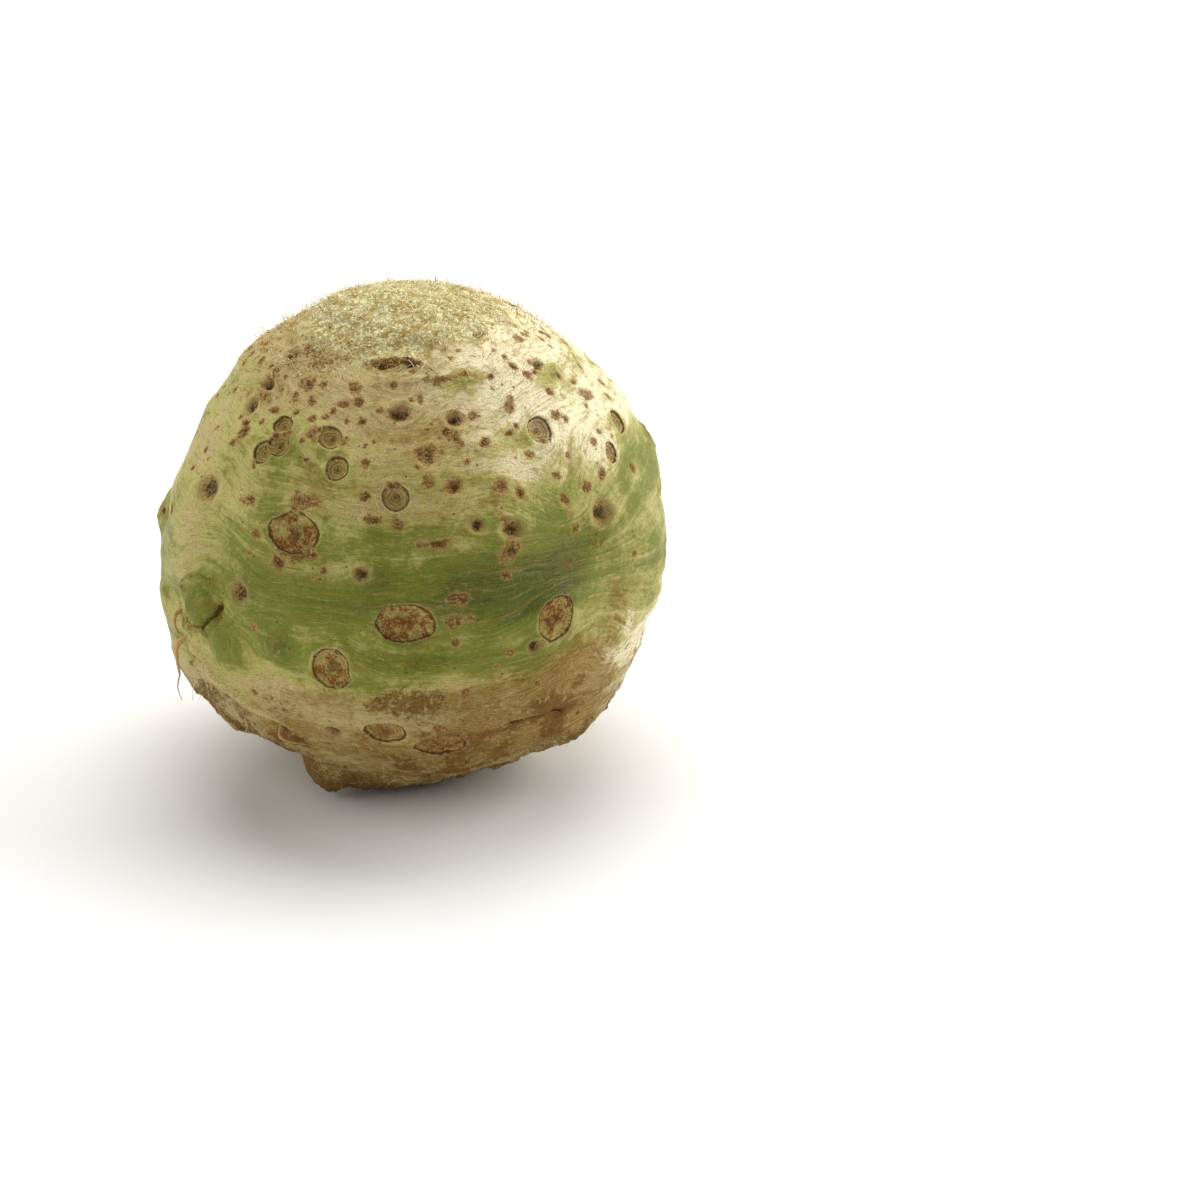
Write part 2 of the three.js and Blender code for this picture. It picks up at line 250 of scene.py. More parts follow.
scabs = [
    (-13.3, 35.8, 4, 4.5), (-16.3, 31.8, 4, 2.5), (3, 33, 2.5, 5), (25.3, -4.8, 6, 5), (41.5, 1, 3, 2.5),
    (12.4, -16.4, 5.5, 2.5), (11.2, -22.3, 4.5, 3), (-10.4, 8.5, 3, 2), (5, 12.3, 4, 3.5),
    (23.3, 11.4, 6, 5), (27.8, 9.8, 4, 5), (19, 22.4, 4.5, 4), (11.6, 23, 4, 3), (4.8, 25.3, 2.5, 2.5),
    (25, 24.6, 3, 2.5), (25.3, 30.9, 4, 4), (36.8, 28.8, 4.5, 3.5), (44, 34.3, 4.5, 4),
    (26.3, 41.3, 3, 4), (29.4, 39.4, 3, 2.5), (27.4, 48.1, 6, 4), (17.8, 49.3, 6.5, 2), (39, 47.5, 3, 3),
    (-33.3, 30.5, 3.5, 3.5), (-28, 33.8, 3, 4), (-24.9, 36.8, 6, 5), (-40.8, 24.6, 4, 4.5),
    (-43.4, 22, 3, 2.5), (-38.8, 8, 4, 3), (-37.9, -0.8, 3.5, 3), (-32.4, -7.3, 7, 6), (-24, -5.3, 4, 3),
    (7, -3, 8, 3), (-8.3, 2.8, 3, 2), (11.6, 11, 6, 5), (39, 8, 4, 5), (-26.1, 8, 9, 3.5),
    (4.5, 18.8, 5, 6), (-23.6, 24.3, 4, 4),
]

# stubs of side roots that were cut off short, round the foot: turn, latitude, wide, rise
cutRoots = [
    (20, -27, 9, 2.2), (48, -44, 7.5, 2.4), (82, -22, 8, 1.8), (101, -47, 9.5, 2.6),
    (133, -36, 8.5, 2.2), (158, -20, 9, 2), (171, -47, 7.5, 2.2), (318, -58, 7, 1.4),
]

# scars on the sides that the camera doesn't reach, scattered on a golden spiral
scatteredScars = {
    "seed": 20261,
    "count": 230,
    "jitter": 6,  # degrees
    "smallest": 3.6,
    "largest": 10.5,
    "share": 0.62,  # of the places that carry a scar
    "keepOff": 0.16,  # how far round the side, as a cosine, the front's own scars reach
    "ringFrom": 4.6,  # the width from which a scar has rings
    "lowest": -80,  # latitude
    "highest": 68,
    "fewLarge": 2.4,  # the higher, the fewer large ones
    "tallness": (0.72, 0.36),  # least, and how much more the draw may add, as shares of the width
}

# small scabs all over, crowded under the crown and few in the green band
scatteredScabs = {
    "seed": 77,
    "count": 2600,
    "jitter": 5,
    "smallest": 1.1,
    "largest": 3.1,
    "highest": 66,
    "fewLarge": 2.6,
    "tallness": (0.6, 0.5),
    # how many of their places are taken, over the whole root and where else more are
    "taken": {"anywhere": 0.05, "upper": 0.14, "underCrown": 0.22, "leftOfCrown": 0.34, "foot": 0.16},
}

markRelief = {
    "ringRise": 0.8,
    "dishDepth": 0.9,
    "bossRise": 0.7,  # of the corky middle of a large scar
    "bossFrom": 8,  # the width from which a scar has one
    "pitDepth": 1.8,
    "pitRim": 0.45,
    "cutDish": 0.7,
    "scabRise": 0.28,
    "scabDepth": 0.34,
}


def makeDice(seed):
    state = seed

    def roll():
        nonlocal state
        state = (state * 1664525 + 1013904223) % 2 ** 32
        return state / 2 ** 32

    return roll


def placeMark(kind, direction, wide, tall, rise=0.0):
    east = unit(np.cross([0, 0, 1], direction))
    least = rootForm["finestRelief"]
    return {
        "kind": kind,
        "at": direction,
        "east": east,
        "north": np.cross(direction, east),
        "wide": wide,
        "halfWide": max(wide, least) / 2,
        "halfTall": max(tall, least) / 2,
        "rise": rise,
    }


def goldenPlaces(count, jitter, dice):
    # evenly spread directions, each a little out of its place, with three more draws apiece
    goldenTurn = 180 * (3 - math.sqrt(5))
    for i in range(count):
        height = 1 - (2 * i + 1) / count
        latitude = math.degrees(math.asin(height)) + jitter * (dice() - 0.5)
        turn = i * goldenTurn + jitter * (dice() - 0.5)
        yield turn, latitude, dice(), dice(), dice()


def scabShare(turn, latitude):
    # many small scabs round the crown, most of all on its left
    taken = scatteredScabs["taken"]
    underCrown = bell((latitude - 56) / 16)
    upper = smoothStep(latitude, 12, 40)
    leftOfCrown = bell((latitude - 50) / 16) * bell(((turn + 150 + 180) % 360 - 180) / 45)
    foot = smoothStep(-latitude, 18, 45)
    return (taken["anywhere"] + taken["upper"] * upper + taken["underCrown"] * underCrown
            + taken["leftOfCrown"] * leftOfCrown + taken["foot"] * foot)


def makeMarks():
    marks = [placeMark("knob", seenAt(r, u), w, t, rise) for r, u, w, t, rise in knobs]
    for kind, places in (("ring", ringScars), ("pit", pits), ("scab", scabs)):
        marks += [placeMark(kind, seenAt(r, u), w, t) for r, u, w, t in places]
    marks += [placeMark("stub", bearing(turn, lat), w, w, rise) for turn, lat, w, rise in cutRoots]
    scars = scatteredScars
    dice = makeDice(scars["seed"])
    for turn, latitude, chance, size, shape in goldenPlaces(scars["count"], scars["jitter"], dice):
        direction = bearing(turn, min(max(latitude, scars["lowest"]), scars["highest"]))
        if chance > scars["share"] or direction @ toEye > scars["keepOff"]:
            continue
        wide = scars["smallest"] + ((scars["largest"] - scars["smallest"]) * size ** scars["fewLarge"]
                                    * smoothStep(-latitude, -50, 40))
        kind = "ring" if wide > scars["ringFrom"] else "pit"
        least, more = scars["tallness"]
        marks.append(placeMark(kind, direction, wide, wide * (least + more * shape)))
    small = scatteredScabs
    dice = makeDice(small["seed"])
    for turn, latitude, chance, size, shape in goldenPlaces(small["count"], small["jitter"], dice):
        if chance > scabShare(turn, latitude) or latitude > small["highest"]:
            continue
        wide = small["smallest"] + (small["largest"] - small["smallest"]) * size ** small["fewLarge"]
        least, more = small["tallness"]
        marks.append(placeMark("scab", bearing(turn, latitude), wide, wide * (least + more * shape)))
    return marks


def markProfile(mark, spans):
    # how far a mark raises the skin, at so many of its own half-sizes from its middle
    relief, kind, wide = markRelief, mark["kind"], mark["wide"]
    if kind == "knob":
        return mark["rise"] * (1 - smoothStep(spans, 0.3, 1.45))
    if kind == "stub":
        return mark["rise"] * (1 - smoothStep(spans, 0.72, 1.4)) - relief["cutDish"] * bell(spans / 0.5)
    if kind == "pit":
        depth = relief["pitDepth"] * min(1, wide / 5)
        return relief["pitRim"] * bell((spans - 1.25) / 0.4) - depth * bell(spans / 0.7)
    if kind == "ring":
        boss = relief["bossRise"] if wide > relief["bossFrom"] else 0
        return (relief["ringRise"] * bell((spans - 1.15) / 0.32)
                - relief["dishDepth"] * bell((spans * 0.9) ** 2) + boss * bell((spans / 0.55) ** 2))
    size = min(1, wide / 3)
    return size * (relief["scabRise"] * bell((spans - 1) / 0.45) - relief["scabDepth"] * bell(spans / 0.6))


def softNoise(points, size, seed):
    # smooth lumps from -1 to 1, about as large as the size, the same on every run
    cells = points / size
    corner = np.floor(cells).astype(np.int64)
    share = cells - corner
    share = share * share * (3 - 2 * share)
    total = np.zeros(len(points))
    for step in itertools.product((0, 1), repeat=3):
        x, y, z = (corner + step).T
        key = (x * 73856093 ^ y * 19349663 ^ z * 83492791 ^ seed * 2654435761) & 0xffffffff
        key = ((key ^ key >> 15) * 2246822519) & 0xffffffff
        key = ((key ^ key >> 13) * 3266489917) & 0xffffffff
        key ^= key >> 16
        weight = np.prod(np.where(step, share, 1 - share), axis=1)
        total += weight * (key / 0x7fffffff - 1)
    return total


def withNoise(values, points, parts):
    # parts: how high, how wide, seed
    for high, wide, seed in parts:
        values = values + high * softNoise(points, wide, seed)
    return values


# Leaf bases: low ridges that ring the crown, broken up round it
crown = {"from": 7, "to": 34, "ridges": 3, "rise": 0.5}


def crownRelief(directions):
    fromTip = degreesBetween(directions, np.array([0, 0, 1.0]))
    share = np.clip((fromTip - crown["from"]) / (crown["to"] - crown["from"]), 0, 1)
    turn = np.arctan2(directions[:, 1], directions[:, 0])
    broken = 0.55 + 0.45 * np.sin(5 * turn + 4 * share)
    ridges = np.cos(2 * math.pi * crown["ridges"] * share + 1.4 * np.sin(2 * turn))
    return crown["rise"] * np.sin(math.pi * share) * broken * ridges


def makeBall(pieces):
    # an even ball of quads: six square faces bulged out to a sphere and sewn together
    steps = np.tan(np.linspace(-1, 1, pieces + 1) * math.pi / 4)
    across, upward = np.meshgrid(steps, steps, indexing="ij")
    number = np.arange((pieces + 1) ** 2).reshape(pieces + 1, pieces + 1)
    quads = np.stack([number[:-1, :-1], number[1:, :-1], number[1:, 1:], number[:-1, 1:]], -1).reshape(-1, 4)
    points, faces = [], []
    for axis, side in itertools.product(range(3), (-1, 1)):
        outward, east = np.zeros(3), np.zeros(3)
        outward[axis] = side
        east[(axis + 1) % 3] = 1
        north = np.cross(outward, east)
        grid = outward + across[..., None] * east + upward[..., None] * north
        faces.append(quads + len(points) * (pieces + 1) ** 2)
        points.append(unit(grid.reshape(-1, 3)))
    points = np.concatenate(points)
    _, first, again = np.unique(np.round(points * 1e6).astype(int), axis=0,
                                return_index=True, return_inverse=True)
    return points[first], again.reshape(-1)[np.concatenate(faces)]


# Ridges, creases and lines on the skin: the places they run through as the camera sees them,
# how wide, how high, and how pale (above 0) or how dark (below 0) their skin is
folds = [
    ([(-56.5, -26.8), (-52.5, -29.5), (-46.8, -36.8), (-40, -42), (-33.3, -45.3), (-28.8, -50)],
     1.3, 2, 0.8),
    ([(-56, -30), (-51.6, -33), (-46, -39.4), (-39.6, -44.4), (-33.2, -47.6), (-29, -51.4)],
     1.5, -1.5, -0.45),
    ([(-56.5, -16), (-55.3, -11.5), (-51.7, -10), (-48.7, -12), (-47.4, -16.5)], 0.9, 1.5, -0.55),
    ([(-55, -14.5), (-52.8, -12.8), (-50.2, -13), (-48.6, -15.6), (-47.6, -18.6)], 0.6, -0.8, -0.5),
    ([(-46.4, -17), (-47.4, -20.6), (-50.2, -23.2), (-53.4, -25.4)], 0.6, -1.6, -0.9),
    ([(-57.6, -14.5), (-57.2, -19), (-55.8, -23.5)], 0.7, -1, -0.7),
    ([(-49, -37), (-44, -42), (-40, -44.6), (-36.4, -45.6)], 0.5, -0.5, -0.5),
    ([(-54, -35.4), (-51, -41), (-47, -45.6)], 0.6, -0.6, -0.5),
    ([(23, -48.4), (27, -47.8), (31, -46.6), (34.5, -45), (38, -44.8), (42.3, -45.2)], 0.8, -0.9, -0.85),
    ([(-15.7, -53.6), (-13.2, -54.3), (-12.2, -57)], 0.5, -0.3, -0.7),
    ([(3, -51.6), (6.8, -54.2), (10.5, -54.8), (14.3, -54)], 0.7, -0.5, -0.7),
    ([(1.5, -59.4), (8.3, -60.4), (14.3, -59.6), (19.3, -56.5)], 0.6, -0.3, -0.6),
    ([(-9.2, -49.2), (-5.8, -50.4), (-3, -49.6)], 0.7, -0.5, -0.8),
    ([(-9.5, 42.3), (-6.5, 41.3), (-1, 41.8), (3, 41)], 0.6, -1.1, -0.9),
    ([(-2.5, 42.8), (2, 42.2), (7, 38.4), (12, 37.2)], 1.1, 0.6, -0.25),
    ([(-28, 2), (-21, 3.8), (-12, 3), (-4, 4)], 0.6, -0.35, -0.25),
    ([(8, -13.5), (16, -12.2), (27, -9), (38, -9.8)], 0.8, -0.4, -0.2),
    ([(-49, 25.3), (-47.4, 21.5), (-44.8, 18), (-43.5, 15)], 0.5, -0.3, -0.35),
]
farOff = 99.0  # out of reach of a fold or a mark


def foldDistance(places, points):
    # how far each point of the ball lies from a line across the skin, and how far along it, from 0 to 1
    corners = [seenAt(right, up) * rootForm["meanRadius"] for right, up in places]
    nearest, along = np.full(len(points), farOff), np.zeros(len(points))
    for i, (start, end) in enumerate(zip(corners, corners[1:])):
        step = end - start
        share = np.clip((points - start) @ step / (step @ step), 0, 1)
        distance = np.linalg.norm(points - start - share[:, None] * step, axis=1)
        closer = distance < nearest
        nearest[closer] = distance[closer]
        along[closer] = (i + share[closer]) / (len(corners) - 1)
    return nearest, along


# Colour and grain of the skin, worked out at every point of the mesh

skinPatches = {  # right, up, wide, tall, strength, as the camera sees them
    "green": [
        (-12, 18, 44, 14, 0.24), (-14, 2, 36, 10, 0.2), (-46, 18, 12, 14, 0.15),
        (-33.6, -26.8, 15, 13, 0.4), (-44.8, -30.1, 16, 14, 0.2), (-40, -14, 22, 16, 0.3),
        (-20, -20, 30, 14, 0.35), (-2, 0, 18, 8, 0.4), (36, 40, 14, 6, 0.3), (26, -16, 34, 16, 0.75),
        # (40, -8) below is partly the skin's own green and partly painted shade, darker as in a cast shadow
        (40, -8, 20, 20, 0.5), (0, -14, 30, 10, 0.3), (14, 38, 10, 4, 0.45), (34, 9, 22, 12, 0.2),
        (56, 20, 12, 20, 0.2), (-34, 24, 18, 18, 0.15), (-14, 20, 16, 8, 0.15), (8, -33, 30, 10, 0.3),
        (28, -31, 24, 12, 0.4), (-32, -40, 34, 9, -0.4), (28, 19, 30, 12, 0.1), (40, 14, 20, 14, 0.08),
        (14, 11, 24, 8, 0.15), (-55, -2, 14, 20, -0.35), (-52, -20, 8, 14, 0.35),
    ],
    "cork": [
        (-54.5, -23, 6, 9, 0.6), (-47, -20.5, 5, 7, 0.5), (-53.5, -35, 13, 17, 0.16),
        (-47, -42, 18, 15, 0.14), (-38, -48.5, 20, 11, 0.16), (-30, -51.5, 12, 5, 0.8),
        (-26, -52.5, 7, 4, 0.9), (-22, -58, 16, 12, 0.5), (-1.5, -43, 17, 12, 0.75), (-5, -50, 9, 4, 0.8),
        (8.5, -52.5, 15, 7, 0.7), (0, -58.5, 12, 4, 0.7), (14, -59, 16, 4, 0.7), (35, -42, 11, 8, 0.85),
        # (38, -45) below is partly brown mottles and partly painted shade, darkening the lower right as a
        # cast shadow would
        (38, -45, 30, 16, 0.22), (30, -36, 14, 6, 0.3), (27, -48.5, 22, 3.5, 0.7), (42, -38, 7, 12, 0.5),
        (-51, -24.5, 9, 4, 0.6), (-24, 43, 17, 13, 0.55), (-36, 34, 12, 14, 0.25),
        (-4, 42.2, 15, 3, 0.85), (8, 38, 13, 3, 0.8), (-29, -5, 9, 6, 0.5), (-25, -6, 12, 3, 0.4),
        # (36.9, -21.3) below darkens a ring scar past its own cork: partly the scar, partly painted shade
        (40, -8, 12, 3, 0.4), (47, -2, 8, 5, 0.4), (36.9, -21.3, 11, 12, 0.8), (-12, 47, 10, 6, 0.35),
        (20, 50, 12, 4, 0.3),
    ],
    # in the tan, (30, -50), (30, -44) and (40, -40) are partly painted shade: the lower right darker, as in
    # a cast shadow
    "tan": [
        (-20, 46, 24, 14, 0.4), (-36, 33, 16, 18, 0.35), (-10, 20, 40, 8, 0.2), (-40, -29, 20, 10, 0.35),
        (-24, -41, 28, 9, 0.55), (30, -50, 36, 20, 0.6), (6, -42, 30, 8, 0.5), (5, 3, 18, 5, 0.4),
        (24, 9, 16, 8, 0.4), (2, 25, 34, 14, 0.35), (-8, 10, 30, 6, 0.35), (42, -34, 16, 18, 0.8),
        (4, 47, 22, 10, 0.4), (4, -56, 44, 12, 0.3), (-24, 14, 12, 8, 0.3), (52, -18, 10, 20, 0.7),
        (4, 16, 44, 30, 0.25), (30, -44, 44, 28, 0.7), (40, -40, 26, 30, 0.65),
        (-54, -36, 16, 22, -0.4), (-46, -44, 20, 18, -0.35), (-20, -57, 18, 10, 0.1),
    ],
}
grainSweeps = [  # right, up, wide, tall, and how steeply the grain falls towards the right there
    (-26, 26, 50, 44, 0.35),
    (24, 30, 44, 34, -0.16),
    (-44, -12, 24, 34, 0.4),
    (20, -34, 50, 20, 0.12),
]
# smooth pad under the crown's lip
crownLens = {"right": -2, "up": 38.2, "wide": 12, "tall": 4, "rise": 0.9}
# where the grain closes up, on the right; the reach is in half-sizes
gatherPoint = {"right": 43, "up": -9, "size": 2, "reach": 17, "squeeze": 1.5}

grainLines = {
    "warps": ((4.6, 38, 5), (1.7, 14, 6), (0.5, 6, 7)),  # how far off level, how wide, seed
    "bend": 0.9,  # how closely the grain follows a mark's outline
    "bendEnd": (2.5, 5.5),  # in half-sizes from the mark's middle
    "stretch": 0.1,  # of a pattern's size, across the grain to along it
}
markEdges = {
    "lumps": ((4.5, 8), (2.2, 9)),  # how wide, seed
    "toneSeed": 4,
    "finerShare": 0.7,
    "uneven": 0.08,
    "scabUneven": 0.5,
    "reach": 6,  # half-sizes, past which a mark changes nothing
    "untouched": 4.0,  # half-sizes from any mark, for the skin between them
}
foldEdges = {"astray": (0.5, 4, 61), "taper": (-0.02, 0.2)}
crownFelt = {
    "towards": (-0.03, 0.05, 1),
    "full": 13,  # degrees from its middle
    "end": 34,
    "ragged": ((8, 12, 11), (6, 4.5, 12)),  # degrees, how wide, seed
    "rimAt": 26,  # where the long fibres stand
    "rimWide": 9,
    "thinShare": 0.45,  # of the fibres, left where the felt is thin
    "thickWithin": 26,
}
# degrees above the root's middle, or below it for low and foot, and how strong each share is
colourSpread = {
    "clouds": ((1, 16, 21), (0.5, 7, 22)),
    "bandMiddle": (3, 7),  # of the green band, and how much higher it runs on the right
    "bandEdge": (8, 30),  # from the band's middle
    "bandGreen": 0.62,
    "upperStart": (10, 24),
    "upperEnd": (40, 62),
    "upperGreen": 0.12,
    "leftGreen": 0.26,
    "cloudGreen": 0.14,
    "lowStart": (10, 34),
    "litSide": (1, 0.25, 0.45),  # the way that the skin painted palest faces: towards the right-hand lamp, painted light over the skin's own cream
    "cloudPale": 0.15,
    "footStart": (14, 44),  # behind, where the cork is made up
    "footCork": (0.3, 0.55),  # even, and in lumps
    "lowCork": (0.2, 0.7),
    "lowTan": 0.75,
    "cloudTan": 0.2,
    "crownTan": 0.3,
}
hairSpread = {
    "upper": 0.3,
    "upperStart": (20, 50),  # latitudes, as above
    "anywhere": 0.04,
    "low": 0.6,
    "lowStart": (25, 50),
    "offFloor": (3, 7),  # mm above the floor, so that no hair reaches through it
}

skinRelief = {
    "lumps": (7.5, 0.42),  # how wide, how high
    "ripples": (3.1, 0.2),
    "grain": (1.7, 0.2),
    "cork": (1.5, 1.0),
    "crownFelt": (1.1, 0.34),
}


def patchSum(directions, patches):
    total = np.zeros(len(directions))
    for right, up, wide, tall, strength in patches:
        mark = placeMark("patch", seenAt(right, up), wide, tall)
        total += strength * bell(spansFrom(mark, directions)[0] ** 1.4)
    return total


def spansFrom(mark, directions):
    # how many of its own half-sizes each direction lies from a mark's middle, and how far north
    across = directions @ mark["east"] * rootForm["meanRadius"] / mark["halfWide"]
    upward = directions @ mark["north"] * rootForm["meanRadius"] / mark["halfTall"]
    spans = np.hypot(across, upward)
    return np.where(directions @ mark["at"] < 0.5, farOff, spans), upward


def runGrain(directions, ball):
    # the grain runs round the root: lines of equal height, warped
    grainHeight = withNoise(ball[:, 2], ball, grainLines["warps"])
    for right, up, wide, tall, slope in grainSweeps:
        sweep = placeMark("patch", seenAt(right, up), wide, tall)
        spans, _ = spansFrom(sweep, directions)
        fromSweep = ball - sweep["at"] * rootForm["meanRadius"]
        grainHeight += slope * fromSweep @ sweep["east"] * bell(spans)
    return grainHeight


def layMarks(directions, ball, relief, grainHeight):
    # raises the marks, bends the grain round the larger ones, and notes every point's nearest mark
    nearest = {
        "markReach": np.full(len(directions), markEdges["untouched"]),
        "markHalfSize": np.ones(len(directions)),
        "markTone": np.zeros(len(directions)),
        "markKind": np.zeros((len(directions), 3)),
    }
    kindNumber = {"ring": 0, "stub": 0, "pit": 1, "scab": 2}
    toneDice = makeDice(markEdges["toneSeed"])
    outlines = [softNoise(ball, size, seed) for size, seed in markEdges["lumps"]]
    for mark in makeMarks():
        size = max(mark["halfWide"], mark["halfTall"])
        reach = min(markEdges["reach"] * size / rootForm["meanRadius"], 1)
        near = np.flatnonzero(directions @ mark["at"] > math.cos(reach))
        spans, upward = spansFrom(mark, directions[near])
        uneven = markEdges["scabUneven" if mark["kind"] == "scab" else "uneven"]
        finer = markEdges["finerShare"] * uneven
        spans = spans * (1 + uneven * outlines[0][near] + finer * outlines[1][near])
        relief[near] += markProfile(mark, spans)
        if mark["kind"] != "scab":
            bend = upward * mark["halfTall"] / np.maximum(spans, 1) ** 2
            grainHeight[near] -= grainLines["bend"] * bend * (1 - smoothStep(spans, *grainLines["bendEnd"]))
        markTone = toneDice()
        if mark["kind"] in kindNumber:
            closer = spans < nearest["markReach"][near]
            nearer = near[closer]
            nearest["markReach"][nearer] = spans[closer]
            nearest["markHalfSize"][nearer] = math.sqrt(mark["halfWide"] * mark["halfTall"])
            nearest["markTone"][nearer] = markTone
            nearest["markKind"][nearer] = np.eye(3)[kindNumber[mark["kind"]]]
    return nearest


def layFolds(ball, relief):
    # raises the folds, and returns how pale or dark they make the skin
    shade = np.zeros(len(ball))
    astray = withNoise(0, ball, [foldEdges["astray"]])
    for places, halfWide, rise, paleness in folds:
        distance, along = foldDistance(places, ball)
        tapered = smoothStep(np.minimum(along, 1 - along), *foldEdges["taper"])
        line = bell((distance + astray) / halfWide) * tapered
        relief += rise * line
        shade += paleness * line
    return shade


def spreadColours(directions, ball):
    # where the skin is green, pale, tan, corky, or felted by the crown's fibres, and where hairs grow; pale
    # holds painted light on the lamp side
    latitude = np.degrees(np.arcsin(directions[:, 2]))
    turn = np.degrees(np.arctan2(directions[:, 1], directions[:, 0]))
    crownTurned = degreesBetween(directions, unit(np.array(crownFelt["towards"])))
    ragged = withNoise(0, ball, crownFelt["ragged"])
    felt = 1 - smoothStep(crownTurned + ragged, crownFelt["full"], crownFelt["end"])
    thin = crownFelt["thinShare"]
    spread = colourSpread
    clouds = withNoise(0, ball, spread["clouds"])
    level, tilt = spread["bandMiddle"]
    bandMiddle = level + tilt * np.cos(np.radians(turn))
    band = 1 - smoothStep(abs(latitude - bandMiddle), *spread["bandEdge"])
    paleUpper = smoothStep(latitude, *spread["upperStart"]) * (1 - smoothStep(latitude, *spread["upperEnd"]))
    leftSide = smoothStep(-directions[:, 0], -0.1, 0.6)
    green = (spread["bandGreen"] * band + paleUpper * (spread["upperGreen"] + spread["leftGreen"] * leftSide)
             + spread["cloudGreen"] * clouds)
    green += patchSum(directions, skinPatches["green"])
    low = smoothStep(-latitude, *spread["lowStart"])
    # painted light: the more the skin faces the right-hand lamp, the paler it is painted; the clouds add the
    # skin's own pale patches
    facingLitSide = directions @ unit(np.array(spread["litSide"]))
    pale = smoothStep(facingLitSide, 0.05, 0.75) + spread["cloudPale"] * clouds
    cork = patchSum(directions, skinPatches["cork"])
    behind = 1 - smoothStep(directions @ toEye, 0.05, 0.35)
    even, lumpy = spread["footCork"]
    cork += behind * smoothStep(-latitude, *spread["footStart"]) * (even + lumpy * softNoise(ball, 11, 31))
    even, lumpy = spread["lowCork"]
    cork += lumpy * low * softNoise(ball, 6, 32) + even * low
    tan = patchSum(directions, skinPatches["tan"]) + spread["lowTan"] * low + spread["cloudTan"] * clouds
    tan += spread["crownTan"] * smoothStep(latitude, 34, 58)
    hairs = hairSpread
    return {
        "greenBand": band, "feltShare": felt, "paleAndLitShare": pale, "greenShare": green, "corkShare": cork,
        "tanShare": tan,
        "fibreShare": felt * (thin + (1 - thin) * bell(crownTurned / crownFelt["thickWithin"])),
        "rimShare": bell((crownTurned + ragged - crownFelt["rimAt"]) / crownFelt["rimWide"]),
        "hairShare": (hairs["upper"] * smoothStep(latitude, *hairs["upperStart"]) * (1 - felt)
                      + hairs["anywhere"]
                      + hairs["low"] * smoothStep(-latitude, *hairs["lowStart"])),
    }


def makeSkinMesh():
    directions, faces = makeBall(rootForm["ballPieces"])
    form = bodyRadius(directions)
    ball = directions * rootForm["meanRadius"]
    relief = crownRelief(directions)
    grainHeight = runGrain(directions, ball)
    numbers = layMarks(directions, ball, relief, grainHeight)

    gather = placeMark("patch", seenAt(gatherPoint["right"], gatherPoint["up"]),
                       gatherPoint["size"], gatherPoint["size"])
    spans, upward = spansFrom(gather, directions)
    closing = bell(spans / gatherPoint["reach"])
    grainHeight += gatherPoint["squeeze"] * upward * closing

    lens = placeMark("knob", seenAt(crownLens["right"], crownLens["up"]),
                     crownLens["wide"], crownLens["tall"], crownLens["rise"])
    relief += markProfile(lens, spansFrom(lens, directions)[0])

    numbers["foldShade"] = layFolds(ball, relief)
    numbers |= spreadColours(directions, ball)
    felt, band = numbers["feltShare"], numbers.pop("greenBand")

    acrossGrain = grainLines["stretch"]
    grainPoints = np.column_stack([ball[:, 0] * acrossGrain, ball[:, 1] * acrossGrain, grainHeight])
    heights = {
        "lumps": (ball, 41, 1 - 0.5 * felt),
        "ripples": (grainPoints, 46, (1 - felt) * (0.4 + 0.6 * band)),
        "grain": (grainPoints, 42, (1 - felt) * (0.5 + 0.5 * band + 0.4 * closing)),
        "crownFelt": (ball, 45, felt),
    }
    for name, (places, seed, share) in heights.items():
        wide, high = skinRelief[name]
        relief += high * softNoise(places, wide, seed) * share
    wide, high = skinRelief["cork"]
    rough = abs(softNoise(ball, wide, 43)) + 0.6 * softNoise(ball, wide * 2.2, 44)
    relief += high * np.clip(numbers["corkShare"], 0, 1) * rough

    radius = form + relief
    down = -directions[:, 2]
    onFlat = down * radius > middle[2]
    radius[onFlat] = middle[2] / down[onFlat]
    numbers["hairShare"] *= smoothStep(directions[:, 2] * radius + middle[2], *hairSpread["offFloor"])
    grainPoints[:, :2] += softNoise(ball, 20, 51)[:, None]
    numbers["grainPlace"] = grainPoints * millimetre

    mesh = bpy.data.meshes.new("celeriac_skin")
    mesh.from_pydata(((directions * radius[:, None] + middle) * millimetre).tolist(), [], faces.tolist())
    mesh.shade_smooth()
    for name, values in numbers.items():
        kind, field = ("FLOAT", "value") if values.ndim == 1 else ("FLOAT_VECTOR", "vector")
        attribute = mesh.attributes.new(name, kind, "POINT")
        attribute.data.foreach_set(field, values.astype(np.float32).ravel())
    return mesh


# The skin's material

skinColours = {
    "straw": "#bba870",
    # the skin's own cream, laid on brightest on the lamp side as painted light
    "creamAndLight": "#efe4bc",
    "paleGreen": "#b2ab60",
    "green": "#6f7a1c",
    "deepGreen": "#46540f",
    "tan": "#876a33",
    "thread": "#8a6a30",
    "paleThread": "#dad390",
    "cork": "#7b5c2c",
    "darkCork": "#4a2f14",
    "rust": "#8e6231",
    "scuff": "#b18d4a",
    "darkRust": "#4d2f10",
    "pitFloor": "#432b12",
    "rim": "#dcc995",
    "ridge": "#cfb682",
    "disc": "#a68c52",
    "discRust": "#77491b",
    "felt": "#e6dfae",
    "feltShade": "#b5aa66",
    "yellowFibre": "#b08a36",
}

# noise across the skin: what it lies along, lump size in mm, detail, roughness, distortion
skinPatterns = {
    "threads": ("shortGrain", 0.55, 4, 0.7, 0.8),
    "strands": ("grain", 1.6, 4, 0.65, 0.6),
    "streaks": ("grain", 3.8, 3, 0.6, 0.4),
    "mottle": ("place", 1.5, 5, 0.68, 0.0),
    "crumbs": ("place", 0.6, 3, 0.7, 0.4),
    "grit": ("place", 0.3, 2, 0.6, 0.0),
    "curls": ("place", 1.1, 4, 0.7, 1.3),
    "blotches": ("place", 2.7, 4, 0.6, 0.3),
    "clouds": ("place", 10, 3, 0.55, 0.0),
}


